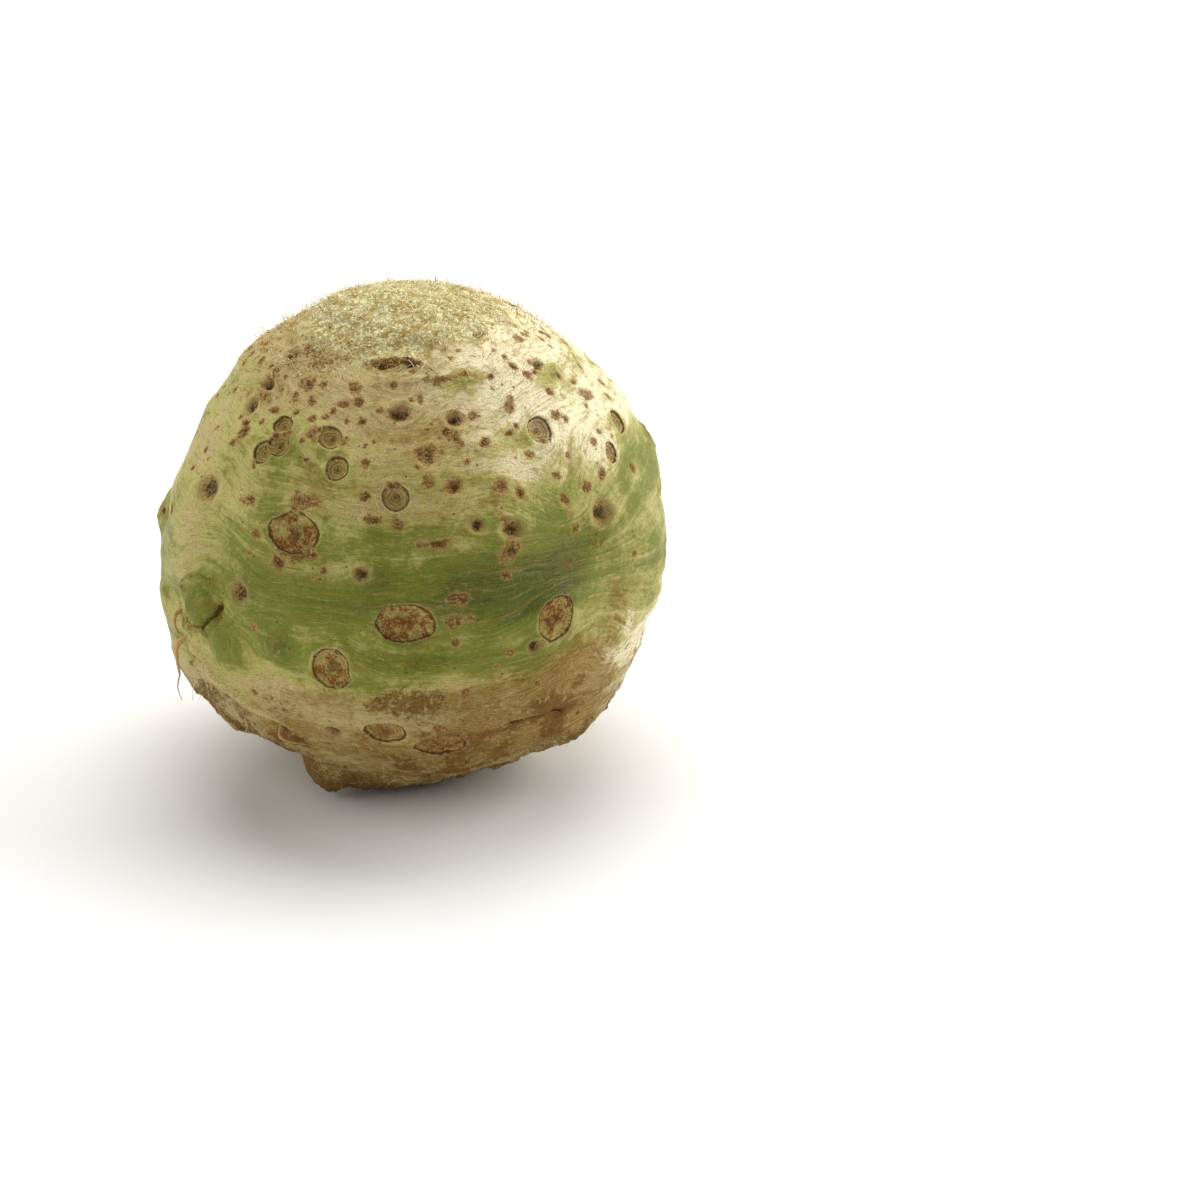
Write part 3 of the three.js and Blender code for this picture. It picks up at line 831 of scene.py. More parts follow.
# shares and edges that the noise breaks up; noise counts from its middle, 0.5
skinSums = {
    "green": ("greenShare", {"streaks": 0.9, "clouds": 0.9, "strands": 0.7, "mottle": 1.1,
                             "crumbs": 0.5}),
    # pale: the skin's own pale patches, with painted light on the side facing the right-hand lamp
    "pale": ("paleAndLitShare", {"mottle": 0.6, "streaks": 0.6}),
    "tan": ("tanShare", {"mottle": 1.3, "streaks": 0.9, "blotches": 1.1, "crumbs": 0.4}),
    "cork": ("corkShare", {"mottle": 1.9, "blotches": 1.0, "crumbs": 1.1}),
    "felt": ("feltShare", {"mottle": 1.0, "blotches": 0.6}),
    "ragged": ("markReach", {"mottle": 1.5, "crumbs": 1.1, "grit": 0.7}),
    "wobble": ("markReach", {"mottle": 0.28, "crumbs": 0.1}),
    "shade": ("foldShade", {"mottle": 1.3, "crumbs": 1.0}),
}

# what each mask is drawn from, where it starts, where it's full, how strong, and the masks it lies within,
# which stand before it
skinMasks = {
    "ring": ("isRing", 0, 1, 1, ()),
    "pit": ("isPit", 0, 1, 1, ()),
    "scab": ("isScab", 0, 1, 1, ()),
    # cream coat: partly the skin's cream, partly painted light on the side facing the right-hand lamp
    "creamAndLight": ("pale", 0.1, 0.9, 1, ()),
    "paleGreen": ("green", 0.06, 0.4, 1, ()),
    "green": ("green", 0.36, 0.8, 1, ()),
    "deepGreen": ("green", 0.78, 1.3, 0.9, ()),
    "tan": ("tan", 0.2, 1.1, 0.85, ()),
    "scuff": ("strands", 0.55, 0.68, 0.36, ()),
    "freckle": ("crumbs", 0.56, 0.66, 0.4, ()),
    "glint": ("crumbs", 0.42, 0.32, 0.22, ()),
    "darkThread": ("threads", 0.53, 0.62, 0.46, ()),
    "paleThread": ("threads", 0.46, 0.36, 0.17, ()),
    "scratch": ("threads", 0.54, 0.6, 0.75, ("tan",)),
    "tanFlakes": ("mottle", 0.47, 0.36, 0.55, ("tan",)),
    "felt": ("felt", 0.25, 0.7, 1, ()),
    "feltShade": ("curls", 0.55, 0.4, 0.9, ("felt",)),
    "yellowFibre": ("blotches", 0.46, 0.62, 0.7, ("felt",)),
    "cork": ("cork", 0.3, 0.78, 0.85, ()),
    "darkCork": ("crumbs", 0.5, 0.66, 0.8, ("cork",)),
    "corkRust": ("streaks", 0.5, 0.66, 0.5, ("cork",)),
    "crease": ("shade", -0.3, -0.75, 0.85, ()),
    "ridge": ("shade", 0.15, 0.9, 0.7, ()),
    "halo": ("ragged", 1.6, 0.7, 0.32, ("scab",)),
    "flake": ("crumbs", 0.48, 0.41, 1, ()),
    "markFlakes": ("ragged", 1.05, 0.85, 0.4, ("flake",)),
    "toned": ("markTone", 0.25, 0.9, 1, ()),
    "scabBody": ("ragged", 0.98, 0.66, 0.8, ("scab",)),
    "scabCore": ("ragged", 0.62, 0.25, 0.8, ("scab", "toned")),
    "scabCrumbs": ("crumbs", 0.5, 0.58, 0.75, ("scabBody",)),
    "pitRim": ("ragged", 1.6, 1.1, 0.12, ("pit",)),
    "pitRust": ("ragged", 1.15, 0.85, 0.6, ("pit",)),
    "pitFloor": ("ragged", 0.78, 0.45, 0.9, ("pit",)),
    "inside": ("wobble", 1.12, 1.0, 1, ("ring",)),
    "disc": ("wobble", 1.05, 0.96, 0.62, ("ring",)),
    "large": ("markHalfSize", 3.4, 4.6, 1, ()),
    "discRust": ("blotches", 0.48, 0.55, 0.9, ("inside", "large")),
    "small": ("markHalfSize", 5.8, 4.0, 1, ()),
    "broken": ("mottle", 0.34, 0.5, 1, ()),
    "edgeLine": ("offEdge", 0.36, 0.1, 0.8, ("ring", "broken")),
    "innerRings": ("rings", 0.2, 0.32, 0.85, ("inside", "small", "broken")),
    "speckled": ("crumbs", 0.53, 0.61, 0.4, ("inside",)),
    "core": ("ragged", 0.4, 0.1, 0.65, ("ring",)),
    "lip": ("outward", 0.1, 0.3, 0.2, ("ring", "broken")),
    "lipEnd": ("outward", 0.85, 0.4, 1, ("lip",)),
    "picked": ("speckDraw", 0.74, 0.76, 1, ()),
    "speck": ("specks", 0.17, 0.08, 0.7, ("picked",)),
}

# coats laid over each other: the mask that each goes through, and its colour
skinCoats = [
    ("creamAndLight", "creamAndLight"), ("paleGreen", "paleGreen"), ("green", "green"), ("deepGreen", "deepGreen"),
    ("tan", "tan"), ("scuff", "scuff"), ("freckle", "thread"), ("glint", "paleThread"),
    ("darkThread", "thread"), ("paleThread", "paleThread"), ("tanFlakes", "ridge"),
    ("scratch", "cork"), ("felt", "felt"), ("feltShade", "feltShade"),
    ("yellowFibre", "yellowFibre"), ("cork", "cork"), ("corkRust", "rust"),
    ("darkCork", "darkCork"), ("ridge", "ridge"), ("crease", "darkCork"), ("halo", "scuff"),
    ("scabBody", "rust"), ("scabCrumbs", "darkRust"), ("scabCore", "darkRust"), ("pitRim", "rim"),
    ("pitRust", "rust"), ("pitFloor", "pitFloor"), ("disc", "disc"), ("discRust", "discRust"),
    ("speckled", "darkCork"), ("markFlakes", "rim"), ("innerRings", "rust"), ("core", "darkRust"),
    ("lipEnd", "rim"), ("edgeLine", "darkCork"), ("speck", "darkRust"),
]

# fine relief: threads, mottling and the roughness of cork, felt and scabs, in mm
skinBump = {
    "threads": 0.32, "strands": 0.4, "mottle": 0.22, "crumbs": 0.1, "darkCorkMask": 0.12,
    "scabCrumbsMask": 0.16, "feltShadeMask": -0.3, "edgeLineMask": -0.22, "innerRingsMask": -0.16,
    "speckMask": -0.05, "speckledMask": -0.12,
}

skinFinish = {
    "bump": 0.9,
    "shadesStart": -0.5,
    "shades": {"grit": 1.2, "crumbs": 1.1, "mottle": 0.7},  # light and dark grit all over
    "dull": ("cork", "felt", "scabBody", "pitRust", "inside", "crease", "tan"),
    "roughness": (0.5, 0.85),  # waxy skin, dry cork
    "specular": (0.24, 0.04),
    "ior": 1.42,
    "ringStep": 0.36,  # mm between the inner rings' light and dark
    "speckStep": 2.8,  # mm
    "grainShorter": (1.3, 1.3, 1),  # how much shorter the threads run than the streaks
}


def readSkin(tree):
    # the numbers that the mesh carries, and the noise patterns along the grain or across it
    value = {}
    for name in ("markReach", "markHalfSize", "markTone", "feltShare", "paleAndLitShare", "greenShare",
                 "corkShare", "tanShare", "foldShade"):
        value[name] = addNode(tree, "ShaderNodeAttribute", attribute_name=name).outputs["Fac"]
    place = addNode(tree, "ShaderNodeTexCoord").outputs["Object"]
    grain = addNode(tree, "ShaderNodeAttribute", attribute_name="grainPlace").outputs["Vector"]
    kinds = addNode(tree, "ShaderNodeAttribute", attribute_name="markKind").outputs["Vector"]
    kinds = addNode(tree, "ShaderNodeSeparateXYZ", {0: kinds})
    value["isRing"], value["isPit"], value["isScab"] = kinds.outputs
    shortGrain = addNode(tree, "ShaderNodeVectorMath", {0: grain, 1: skinFinish["grainShorter"]},
                         operation="MULTIPLY")
    along = {"grain": grain, "shortGrain": shortGrain.outputs[0], "place": place}
    for name, (vector, size, detail, roughness, distortion) in skinPatterns.items():
        value[name] = addNode(tree, "ShaderNodeTexNoise", {
            "Vector": along[vector], "Scale": 1 / (size * millimetre), "Detail": detail,
            "Roughness": roughness, "Distortion": distortion}).outputs[0]
    for name, (start, parts) in skinSums.items():
        total = addNode(tree, "ShaderNodeMath", {0: value[start], 1: sum(parts.values()) / 2},
                        operation="SUBTRACT")
        for part, weight in parts.items():
            total = addNode(tree, "ShaderNodeMath", {0: value[part], 1: weight, 2: total.outputs[0]},
                            operation="MULTIPLY_ADD")
        value[name] = total.outputs[0]

    # millimetres from a ring scar's edge, and its repeated inner rings
    fromMiddle = addNode(tree, "ShaderNodeMath", {0: value["wobble"], 1: value["markHalfSize"]},
                         operation="MULTIPLY")
    offEdge = addNode(tree, "ShaderNodeMath", {0: fromMiddle.outputs[0], 1: value["markHalfSize"]},
                      operation="SUBTRACT")
    value["outward"] = offEdge.outputs[0]
    value["offEdge"] = addNode(tree, "ShaderNodeMath", {0: offEdge.outputs[0]},
                               operation="ABSOLUTE").outputs[0]
    value["rings"] = addNode(tree, "ShaderNodeMath", {0: fromMiddle.outputs[0], 1: skinFinish["ringStep"]},
                             operation="PINGPONG").outputs[0]

    # pinpoint specks, a few to the square centimetre
    specks = addNode(tree, "ShaderNodeTexVoronoi", {
        "Vector": place, "Scale": 1 / (skinFinish["speckStep"] * millimetre)})
    value["specks"] = specks.outputs["Distance"]
    value["speckDraw"] = addNode(tree, "ShaderNodeSeparateXYZ", {0: specks.outputs["Color"]}).outputs[0]
    return value


def addMasks(tree, value):
    for name, (source, start, full, most, within) in skinMasks.items():
        mask = addNode(tree, "ShaderNodeMapRange", {
            "Value": value[source], "From Min": start, "From Max": full, "To Max": most},
            interpolation_type="SMOOTHSTEP").outputs[0]
        for outer in within:
            mask = addNode(tree, "ShaderNodeMath", {0: mask, 1: value[outer + "Mask"]},
                           operation="MULTIPLY").outputs[0]
        value[name + "Mask"] = mask


def paintSkin(tree, value):
    colour = {name: linearColour(text) for name, text in skinColours.items()}
    base = colour["straw"]
    for mask, paint in skinCoats:
        base = addNode(tree, "ShaderNodeMix", {0: value[mask + "Mask"], 6: base, 7: colour[paint]},
                       data_type="RGBA").outputs[2]
    shades = skinFinish["shadesStart"]
    for name, weight in skinFinish["shades"].items():
        shades = addNode(tree, "ShaderNodeMath", {0: value[name], 1: weight, 2: shades},
                         operation="MULTIPLY_ADD").outputs[0]
    return addNode(tree, "ShaderNodeVectorMath", {0: base, "Scale": shades}, operation="SCALE").outputs[0]


def makeSkinMaterial():
    # living celeriac skin: waxy and thin over white flesh, with fibre lines round the root and
    # dry corky scars, so it is satin where green and dull where brown
    material = bpy.data.materials.new("celeriac skin, grown and corked")
    material.use_nodes = True
    tree = material.node_tree
    tree.nodes.clear()
    value = readSkin(tree)
    addMasks(tree, value)
    base = paintSkin(tree, value)
    height = 0.0
    for name, high in skinBump.items():
        height = addNode(tree, "ShaderNodeMath", {0: value[name], 1: high, 2: height},
                         operation="MULTIPLY_ADD").outputs[0]
    bump = addNode(tree, "ShaderNodeBump", {
        "Strength": skinFinish["bump"], "Distance": millimetre, "Height": height})
    first, *others = skinFinish["dull"]
    dull = value[first + "Mask"]
    for mask in others:
        dull = addNode(tree, "ShaderNodeMath", {0: dull, 1: value[mask + "Mask"]},
                       operation="MAXIMUM").outputs[0]
    finish = {}
    for name in ("roughness", "specular"):
        waxy, dry = skinFinish[name]
        finish[name] = addNode(tree, "ShaderNodeMapRange", {
            "Value": dull, "To Min": waxy, "To Max": dry}).outputs[0]
    shader = addNode(tree, "ShaderNodeBsdfPrincipled", {
        "Base Color": base, "Roughness": finish["roughness"], "IOR": skinFinish["ior"],
        "Specular IOR Level": finish["specular"], "Normal": bump.outputs["Normal"]})
    addNode(tree, "ShaderNodeOutputMaterial", {"Surface": shader.outputs["BSDF"]})
    return material


skinMesh = makeSkinMesh()
skin = addObject("celeriac_skin", skinMesh)
skinMesh.materials.append(makeSkinMaterial())
print("skin made,", len(skinMesh.polygons), "quads")


# Fibres and hairs: the felt and long fibres of the cropped crown, and fine hairs on the skin

fibreBeds = {  # lengths in metres, crowding per square metre; thicker than real fibres, to show in a render
    "crown_felt": {
        "Share": "fibreShare", "Crowding": 1.5e6, "Seed": 3, "Shortest": 0.0005, "Longest": 0.0014,
        "Thickness": 0.00022, "Lean": 7.0, "Curl": 0.0011, "Curl size": 0.0016, "Joints": 5,
    },
    "crown_fibres": {
        "Share": "rimShare", "Crowding": 3.2e5, "Seed": 8, "Shortest": 0.0012, "Longest": 0.0044,
        "Thickness": 0.0002, "Lean": 6.0, "Curl": 0.0018, "Curl size": 0.0024, "Joints": 8,
    },
    "skin_hairs": {
        "Share": "hairShare", "Crowding": 1.1e5, "Seed": 15, "Shortest": 0.0006, "Longest": 0.0024,
        "Thickness": 0.00011, "Lean": 1.3, "Curl": 0.001, "Curl size": 0.002, "Joints": 5,
    },
}
fibreColours = {  # the darkest, middle and palest of each bed's random tones
    "crown_felt": ("#c6a95c", "#efe6b2", "#fdf8dc"),
    "crown_fibres": ("#8f6a26", "#cfa64e", "#e9dfae"),
    "skin_hairs": ("#8b6a3c", "#c3ab74", "#e2d8b0"),
}
fibreLook = {
    "sides": 3,
    "rootShare": 0.5,  # of the thickness, as a radius
    "tipShare": 0.12,
    "drift": 4.0,  # the noise's pull for each unit of curl
    "tuftWide": 3.4,  # mm
    "tuftContrast": 2.6,
    "toneSteps": ((0, 0.5), (0.5, 1)),
    "roughness": 0.75,
    "specular": 0.25,
}


def makeFibreTree():
    tree = bpy.data.node_groups.new("layFibres", "GeometryNodeTree")
    sockets = {
        "Skin": "Geometry", "Share": "String", "Crowding": "Float", "Seed": "Int", "Shortest": "Float",
        "Longest": "Float", "Thickness": "Float", "Lean": "Float", "Curl": "Float", "Curl size": "Float",
        "Joints": "Int", "Material": "Material",
    }
    for name, kind in sockets.items():
        tree.interface.new_socket(name, in_out="INPUT", socket_type="NodeSocket" + kind)
    tree.interface.new_socket("Fibres", in_out="OUTPUT", socket_type="NodeSocketGeometry")
    given = addNode(tree, "NodeGroupInput").outputs

    # where the fibres stand
    share = addNode(tree, "GeometryNodeInputNamedAttribute", {"Name": given["Share"]}, data_type="FLOAT")
    crowding = addNode(tree, "ShaderNodeMath", {0: share.outputs[0], 1: given["Crowding"]},
                       operation="MULTIPLY")
    places = addNode(tree, "GeometryNodeDistributePointsOnFaces", {
        "Mesh": given["Skin"], "Density": crowding.outputs[0], "Seed": given["Seed"]})
    tone = addNode(tree, "FunctionNodeRandomValue", {"Seed": given["Seed"]}, data_type="FLOAT")
    toned = addNode(tree, "GeometryNodeStoreNamedAttribute", {
        "Geometry": places.outputs["Points"], "Name": "fibreTone", "Value": tone.outputs[1]})

    # how long each is and which way it leans
    length = addNode(tree, "FunctionNodeRandomValue", {
        2: given["Shortest"], 3: given["Longest"], "Seed": given["Seed"]}, data_type="FLOAT")
    aside = addNode(tree, "FunctionNodeRandomValue", {
        0: (-1, -1, -1), 1: (1, 1, 1), "Seed": given["Seed"]}, data_type="FLOAT_VECTOR")
    aside = addNode(tree, "ShaderNodeVectorMath", {0: aside.outputs[0], "Scale": given["Lean"]},
                    operation="SCALE")
    leaned = addNode(tree, "ShaderNodeVectorMath", {0: places.outputs["Normal"], 1: aside.outputs[0]},
                     operation="ADD")
    rotation = addNode(tree, "FunctionNodeAlignRotationToVector", {"Vector": leaned.outputs[0]}, axis="Z")
    line = addNode(tree, "GeometryNodeCurvePrimitiveLine", {"End": (0, 0, 1)})
    jointed = addNode(tree, "GeometryNodeResampleCurve", {
        "Curve": line.outputs[0], "Count": given["Joints"]})
    standing = addNode(tree, "GeometryNodeInstanceOnPoints", {
        "Points": toned.outputs[0], "Instance": jointed.outputs[0], "Rotation": rotation.outputs[0],
        "Scale": length.outputs[1]})
    lines = addNode(tree, "GeometryNodeRealizeInstances", {"Geometry": standing.outputs[0]})

    # curled more and more towards the tip, the root left in its place
    upward = addNode(tree, "GeometryNodeSplineParameter").outputs["Factor"]
    finer = addNode(tree, "ShaderNodeMath", {0: 1.0, 1: given["Curl size"]}, operation="DIVIDE")
    drift = addNode(tree, "ShaderNodeTexNoise", {"Scale": finer.outputs[0], "Detail": 1.0})
    drift = addNode(tree, "ShaderNodeVectorMath", {0: drift.outputs["Color"], 1: (0.5, 0.5, 0.5)},
                    operation="SUBTRACT")
    curl = addNode(tree, "ShaderNodeMath", {0: upward, 1: given["Curl"]}, operation="MULTIPLY")
    curl = addNode(tree, "ShaderNodeMath", {0: curl.outputs[0], 1: fibreLook["drift"]},
                   operation="MULTIPLY")
    drift = addNode(tree, "ShaderNodeVectorMath", {0: drift.outputs[0], "Scale": curl.outputs[0]},
                    operation="SCALE")
    curled = addNode(tree, "GeometryNodeSetPosition", {
        "Geometry": lines.outputs[0], "Offset": drift.outputs[0]})

    # round and tapering to the tip
    taper = addNode(tree, "ShaderNodeMapRange", {
        "Value": upward, "To Min": fibreLook["rootShare"], "To Max": fibreLook["tipShare"]})
    radius = addNode(tree, "ShaderNodeMath", {0: taper.outputs[0], 1: given["Thickness"]},
                     operation="MULTIPLY")
    profile = addNode(tree, "GeometryNodeCurvePrimitiveCircle", {
        "Resolution": fibreLook["sides"], "Radius": 1.0})
    tubes = addNode(tree, "GeometryNodeCurveToMesh", {
        "Curve": curled.outputs[0], "Profile Curve": profile.outputs[0], "Scale": radius.outputs[0],
        "Fill Caps": True})
    whole = addNode(tree, "GeometryNodeRealizeInstances", {"Geometry": tubes.outputs[0]})
    covered = addNode(tree, "GeometryNodeSetMaterial", {
        "Geometry": whole.outputs[0], "Material": given["Material"]})
    addNode(tree, "NodeGroupOutput", {"Fibres": covered.outputs[0]})
    return tree


def strandColour(tree, tone, texts, steps):
    # three colours, each turning into the next as the tone rises through a step
    base, *paints = (linearColour(text) for text in texts)
    for (start, full), paint in zip(steps, paints):
        share = addNode(tree, "ShaderNodeMapRange", {"Value": tone, "From Min": start, "From Max": full})
        base = addNode(tree, "ShaderNodeMix", {0: share.outputs[0], 6: base, 7: paint},
                       data_type="RGBA").outputs[2]
    return base


def makeFibreMaterial(name):
    # dry plant fibre: dull, each strand a tone of its own, from brown or ochre to pale straw
    material = bpy.data.materials.new(name.replace("_", " ") + ", dry strands")
    material.use_nodes = True
    tree = material.node_tree
    tone = addNode(tree, "ShaderNodeAttribute", attribute_name="fibreTone").outputs["Fac"]
    place = addNode(tree, "ShaderNodeTexCoord").outputs["Object"]
    tufts = addNode(tree, "ShaderNodeTexNoise", {
        "Vector": place, "Scale": 1 / (fibreLook["tuftWide"] * millimetre), "Detail": 3.0,
        "Roughness": 0.6}).outputs[0]
    contrast = fibreLook["tuftContrast"]
    tone = addNode(tree, "ShaderNodeMath", {0: tufts, 1: -contrast, 2: tone},
                   operation="MULTIPLY_ADD").outputs[0]
    tone = addNode(tree, "ShaderNodeMath", {0: tone, 1: contrast / 2}, operation="ADD").outputs[0]
    base = strandColour(tree, tone, fibreColours[name], fibreLook["toneSteps"])
    shader = tree.nodes["Principled BSDF"]
    tree.links.new(base, shader.inputs["Base Color"])
    shader.inputs["Roughness"].default_value = fibreLook["roughness"]
    shader.inputs["Specular IOR Level"].default_value = fibreLook["specular"]
    return material


def layFibres(name, tree):
    # the fibres grow on a stand-in that borrows the skin's mesh, and stay as a plain mesh of their own
    bed = addObject(name + "_bed", skinMesh)
    modifier = bed.modifiers.new("fibres", "NODES")
    modifier.node_group = tree
    settings = dict(fibreBeds[name], Material=makeFibreMaterial(name))
    for socket in tree.interface.items_tree:
        if socket.in_out == "INPUT" and socket.name in settings:
            modifier[socket.identifier] = settings[socket.name]
    grown = bed.evaluated_get(bpy.context.evaluated_depsgraph_get())
    mesh = bpy.data.meshes.new_from_object(grown)
    bed.modifiers.remove(modifier)
    bpy.data.objects.remove(bed)
    mesh.name = "celeriac_" + name
    print(name, "laid,", len(mesh.polygons), "faces")
    return addObject("celeriac_" + name, mesh)


fibreTree = makeFibreTree()
fibrePieces = [layFibres(name, fibreTree) for name in fibreBeds]


# Rootlets left by the trimming, and single long fibres, each a tapering line from the skin

rootletLook = {
    "sides": 6,
    "pieces": 28,
    "sunk": 0.3,  # of the root end below the skin
    "slender": 1.6,  # the higher, the sooner a rootlet thins out
    "wander": (0.09, 1.6, (71, 72, 73)),  # how far, how wide, seeds
    "lumps": (0.25, 1.1, 80),  # as a share of the thickness, how wide, first seed
    "colours": ("#a47c48", "#c9a66c", "#e0cba0"),
    "toneSteps": ((0.35, 0.85), (0.85, 1.35)),
    "bandStep": 0.7,  # mm
    "bandShare": 0.9,
    "bandRise": 0.15,  # mm
    "roughness": 0.7,
    "specular": 0.3,
}
rootlets = [  # right and up of the root's middle, thick, tip, tone from 0 to 1, steps from the skin
    (-55.6, -26.4, 1.9, 0.24, 0.4, [(0.8, 0.6, 0), (-2.6, -1, -1.6), (-2.9, -1.5, -6), (-2.4, -1.5, -9.6),
                                    (-3.1, -1.3, -13), (-2.2, -1, -17)]),
    (-52.6, -33.5, 0.7, 0.14, 0.7, [(0.8, 0.4, 0), (-3, -1.2, -2), (-3.8, -1.6, -6), (-4.4, -1.5, -10.5)]),
    (-31.5, -49, 1.4, 0.5, 0.2, [(0, 0.6, 0), (-0.4, -2.4, -1.4), (2.6, -3.4, -2.4), (5.8, -2.4, -3.4)]),
    (-56.6, -20, 1.5, 0.6, 0.1, [(0.5, 0.5, 0), (-1.6, -0.6, -0.4), (-2, -0.8, -3), (-1.2, -0.6, -5.6)]),
    (-57.5, -22.5, 0.3, 0.1, 0.5, [(0.5, 0, 0), (-1.8, -0.5, 0.6), (-2.6, -0.4, -0.6), (-1.8, -0.2, -1.6)]),
    (-3.5, -60.5, 0.4, 0.12, 0.9, [(0, 0.5, 0.3), (0.3, -1.4, -0.6), (-1.2, -3.2, -1), (-0.8, -5.2, -0.6)]),
    (-1.5, -60.8, 0.3, 0.1, 0.9, [(0, 0.5, 0.3), (0.5, -1, -0.5), (2.2, -1.6, -0.7), (4.2, -1.2, -0.2)]),
    (-40.5, -46, 0.3, 0.1, 0.8, [(0, 0.4, 0.3), (-0.4, -1, -0.8), (0.2, -1.4, -2.4), (-0.3, -1.5, -3.6)]),
    (-1, 43, 0.42, 0.14, 0.85, [(0, 0.2, -0.3), (1.4, -1.6, 0.6), (3.3, -3.2, -2.2), (3.4, -3.8, -4.2),
                                (1.6, -3.8, -6)]),
    (3.2, 42, 0.4, 0.14, 0.95, [(0, 0.2, -0.3), (1.6, -1.2, 0.7), (5, -3, -1.6), (9, -3.6, -3.4)]),
    (5, 40.6, 0.36, 0.12, 0.5, [(0, 0.2, -0.3), (2, -1.4, 0.6), (4.4, -2.4, -0.6), (7.4, -2.4, -1.6)]),
    (-6, 42, 0.34, 0.12, 0.2, [(0, 0.2, -0.3), (2, -1, 0.5), (4.4, -1.6, -0.4), (7, -1.4, -0.2)]),
    (-21, 55, 0.4, 0.14, 0.0, [(0, 0.2, -0.3), (-0.8, -0.8, 1.6), (-1.6, -1, 3)]),
    (5, 47, 0.4, 0.16, 0.0, [(0, 0.2, -0.3), (-0.8, -1, 1.2), (-1.4, -1.2, 2.6)]),
    (40.6, 47.5, 0.24, 0.1, 0.6, [(0, 0.2, -0.4), (0.2, -0.3, 1.8), (-0.5, -0.6, 3.6)]),
    (21, 4.6, 0.4, 0.14, 0.1, [(0, 0.3, 0), (1, -0.8, 0.6), (2.4, -1.2, 1.4), (3.6, -1.2, 2)]),
]


def smoothLine(steps, pieces):
    # a smooth line through the steps, evenly cut
    steps = np.array(steps, float)
    padded = np.vstack([2 * steps[0] - steps[1], steps, 2 * steps[-1] - steps[-2]])
    line = []
    for place in np.linspace(0, len(steps) - 1, pieces + 1):
        i = min(int(place), len(steps) - 2)
        before, start, end, after = padded[i:i + 4]
        t = place - i
        line.append(0.5 * (2 * start + (end - before) * t
                           + (2 * before - 5 * start + 4 * end - after) * t ** 2
                           + (3 * start - before - 3 * end + after) * t ** 3))
    return np.array(line)


def makeRootlets():
    sides, pieces = rootletLook["sides"], rootletLook["pieces"]
    drift, driftWide, driftSeeds = rootletLook["wander"]
    lumpHigh, lumpWide, lumpSeed = rootletLook["lumps"]
    points, faces, tones = [], [], []
    for number, (right, up, thick, tip, tone, steps) in enumerate(rootlets):
        direction = seenAt(right, up)
        start = direction * (bodyRadius(direction[None])[0] - rootletLook["sunk"])
        line = smoothLine(steps, pieces) + start + middle
        line += drift * np.column_stack([softNoise(line, driftWide, seed) for seed in driftSeeds])
        forward = unit(np.gradient(line, axis=0))
        across = unit(np.cross(forward, [0.3, 0.9, 0.2]))
        other = np.cross(forward, across)
        share = np.linspace(0, 1, pieces + 1)
        thickness = thick * (1 - share) ** rootletLook["slender"] + tip * share
        uneven = 1 + lumpHigh * softNoise(line, lumpWide, lumpSeed + number)
        first = sum(len(ring) for ring in points)
        for i in range(pieces + 1):
            turns = np.arange(sides) * 2 * math.pi / sides
            ring = np.outer(np.cos(turns), across[i]) + np.outer(np.sin(turns), other[i])
            points.append(line[i] + ring * thickness[i] * uneven[i] / 2)
            tones += [tone] * sides
        for i, side in itertools.product(range(pieces), range(sides)):
            a, b = first + i * sides + side, first + i * sides + (side + 1) % sides
            faces.append((a, a + sides, b + sides, b))
        faces.append(tuple(first + side for side in range(sides)))
        faces.append(tuple(first + (pieces + 1) * sides - 1 - side for side in range(sides)))
    mesh = bpy.data.meshes.new("celeriac_rootlets")
    mesh.from_pydata((np.concatenate(points) * millimetre).tolist(), [], faces)
    mesh.shade_smooth()
    attribute = mesh.attributes.new("rootTone", "FLOAT", "POINT")
    attribute.data.foreach_set("value", np.array(tones, np.float32))
    return mesh


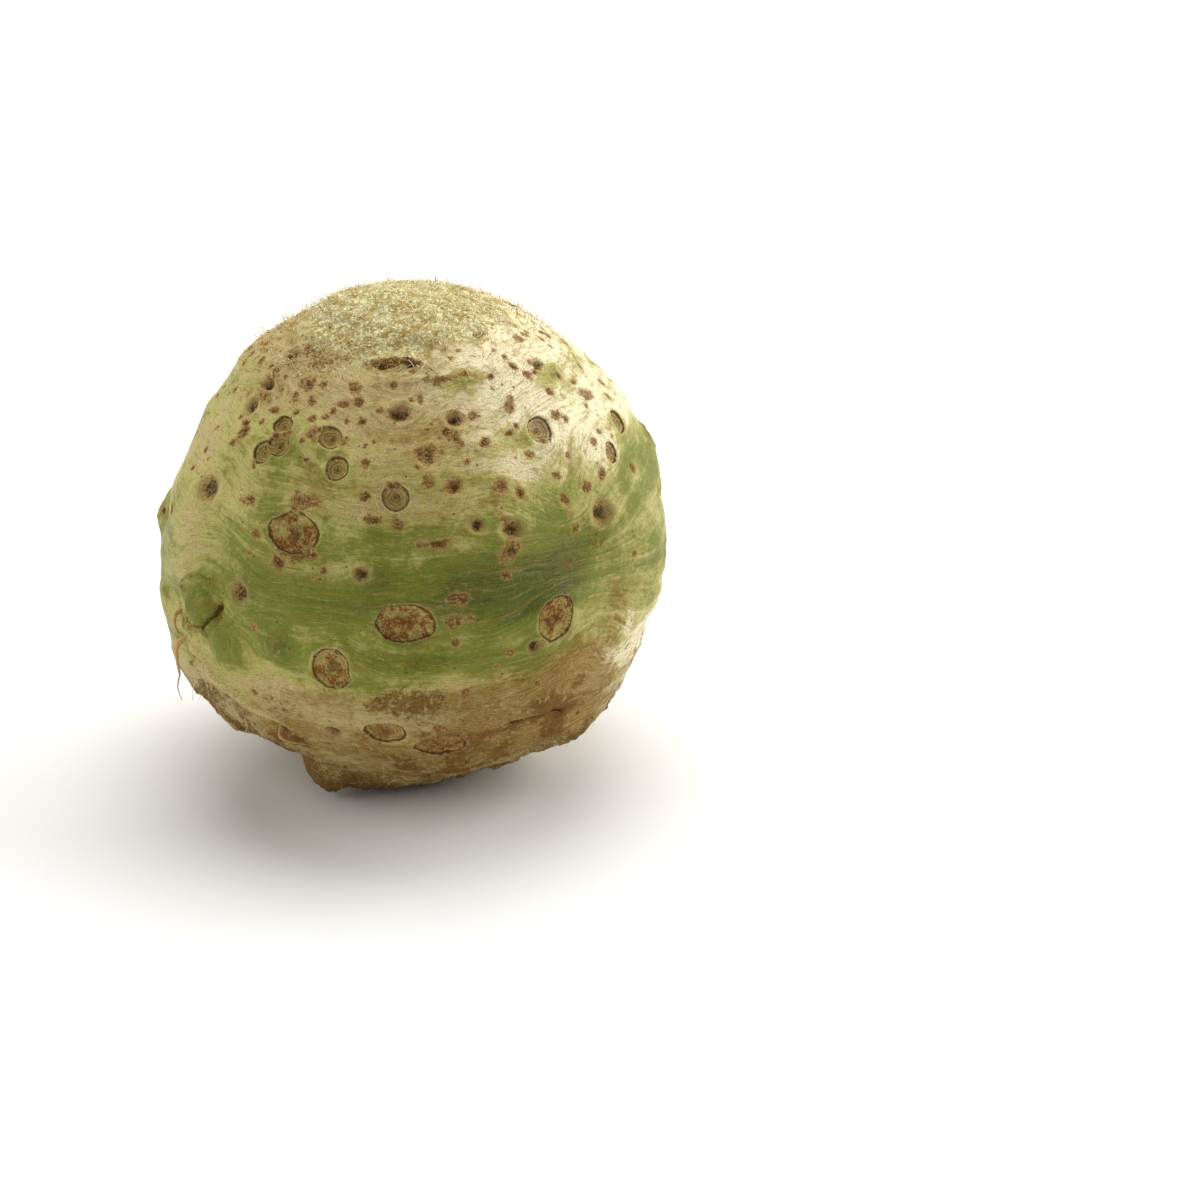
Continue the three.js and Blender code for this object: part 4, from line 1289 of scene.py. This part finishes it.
def makeRootletMaterial():
    # dried root and fibre: rust-brown to straw, banded across as it shrinks
    material = bpy.data.materials.new("rootlet, dried")
    material.use_nodes = True
    tree = material.node_tree
    tone = addNode(tree, "ShaderNodeAttribute", attribute_name="rootTone").outputs["Fac"]
    place = addNode(tree, "ShaderNodeTexCoord").outputs["Object"]
    bands = addNode(tree, "ShaderNodeTexNoise", {
        "Vector": place, "Scale": 1 / (rootletLook["bandStep"] * millimetre), "Detail": 3.0,
        "Roughness": 0.6}).outputs[0]
    tone = addNode(tree, "ShaderNodeMath", {0: bands, 1: rootletLook["bandShare"], 2: tone},
                   operation="MULTIPLY_ADD").outputs[0]
    base = strandColour(tree, tone, rootletLook["colours"], rootletLook["toneSteps"])
    bump = addNode(tree, "ShaderNodeBump", {
        "Strength": 0.6, "Distance": rootletLook["bandRise"] * millimetre, "Height": bands})
    shader = tree.nodes["Principled BSDF"]
    tree.links.new(base, shader.inputs["Base Color"])
    tree.links.new(bump.outputs[0], shader.inputs["Normal"])
    shader.inputs["Roughness"].default_value = rootletLook["roughness"]
    shader.inputs["Specular IOR Level"].default_value = rootletLook["specular"]
    return material


rootletMesh = makeRootlets()
rootletMesh.materials.append(makeRootletMaterial())
rootletPiece = addObject("celeriac_rootlets", rootletMesh)
print("rootlets made,", len(rootletMesh.polygons), "faces")


# Stage: a plain pale floor, three soft lamps and a pale sky

stage = {
    "floorWide": 30,  # metres
    "floorColour": "#f4f3f1",
    "skyColour": "#ffffff",
    "skyStrength": 0.14,
    "lamps": {  # towards each, strength, degrees across: wide ones give a soft edge to the shadow
        "overhead": ((0.05, 0.52, 0.85), 2.75, 60),
        "rightSide": ((0.86, 0.3, 0.42), 2.6, 50),
        "leftFill": ((-0.9, -0.2, 0.42), 1.5, 70),
    },
}


def makeStage():
    half = stage["floorWide"] / 2
    mesh = bpy.data.meshes.new("floor")
    corners = [(-half, -half, 0), (half, -half, 0), (half, half, 0), (-half, half, 0)]
    mesh.from_pydata(corners, [], [(0, 1, 2, 3)])
    floor = addObject("floor", mesh)
    # seamless studio paper: matt, with no sheen to mirror the root
    paper = bpy.data.materials.new("seamless paper, matt")
    paper.use_nodes = True
    shader = paper.node_tree.nodes["Principled BSDF"]
    shader.inputs["Base Color"].default_value = linearColour(stage["floorColour"])
    shader.inputs["Roughness"].default_value = 1.0
    shader.inputs["Specular IOR Level"].default_value = 0.0
    mesh.materials.append(paper)

    sky = bpy.data.worlds.new("studio")
    sky.use_nodes = True
    background = sky.node_tree.nodes["Background"]
    background.inputs["Color"].default_value = linearColour(stage["skyColour"])
    background.inputs["Strength"].default_value = stage["skyStrength"]
    bpy.context.scene.world = sky

    for name, (towards, strength, across) in stage["lamps"].items():
        data = bpy.data.lights.new(name, "SUN")
        data.energy = strength
        data.angle = math.radians(across)
        addObject(name, data).rotation_euler = Vector(towards).to_track_quat("Z", "Y").to_euler()


makeStage()
print("stage lit")

for piece in [skin, rootletPiece] + fibrePieces:
    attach(piece, "root")
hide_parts("celeriac_root")
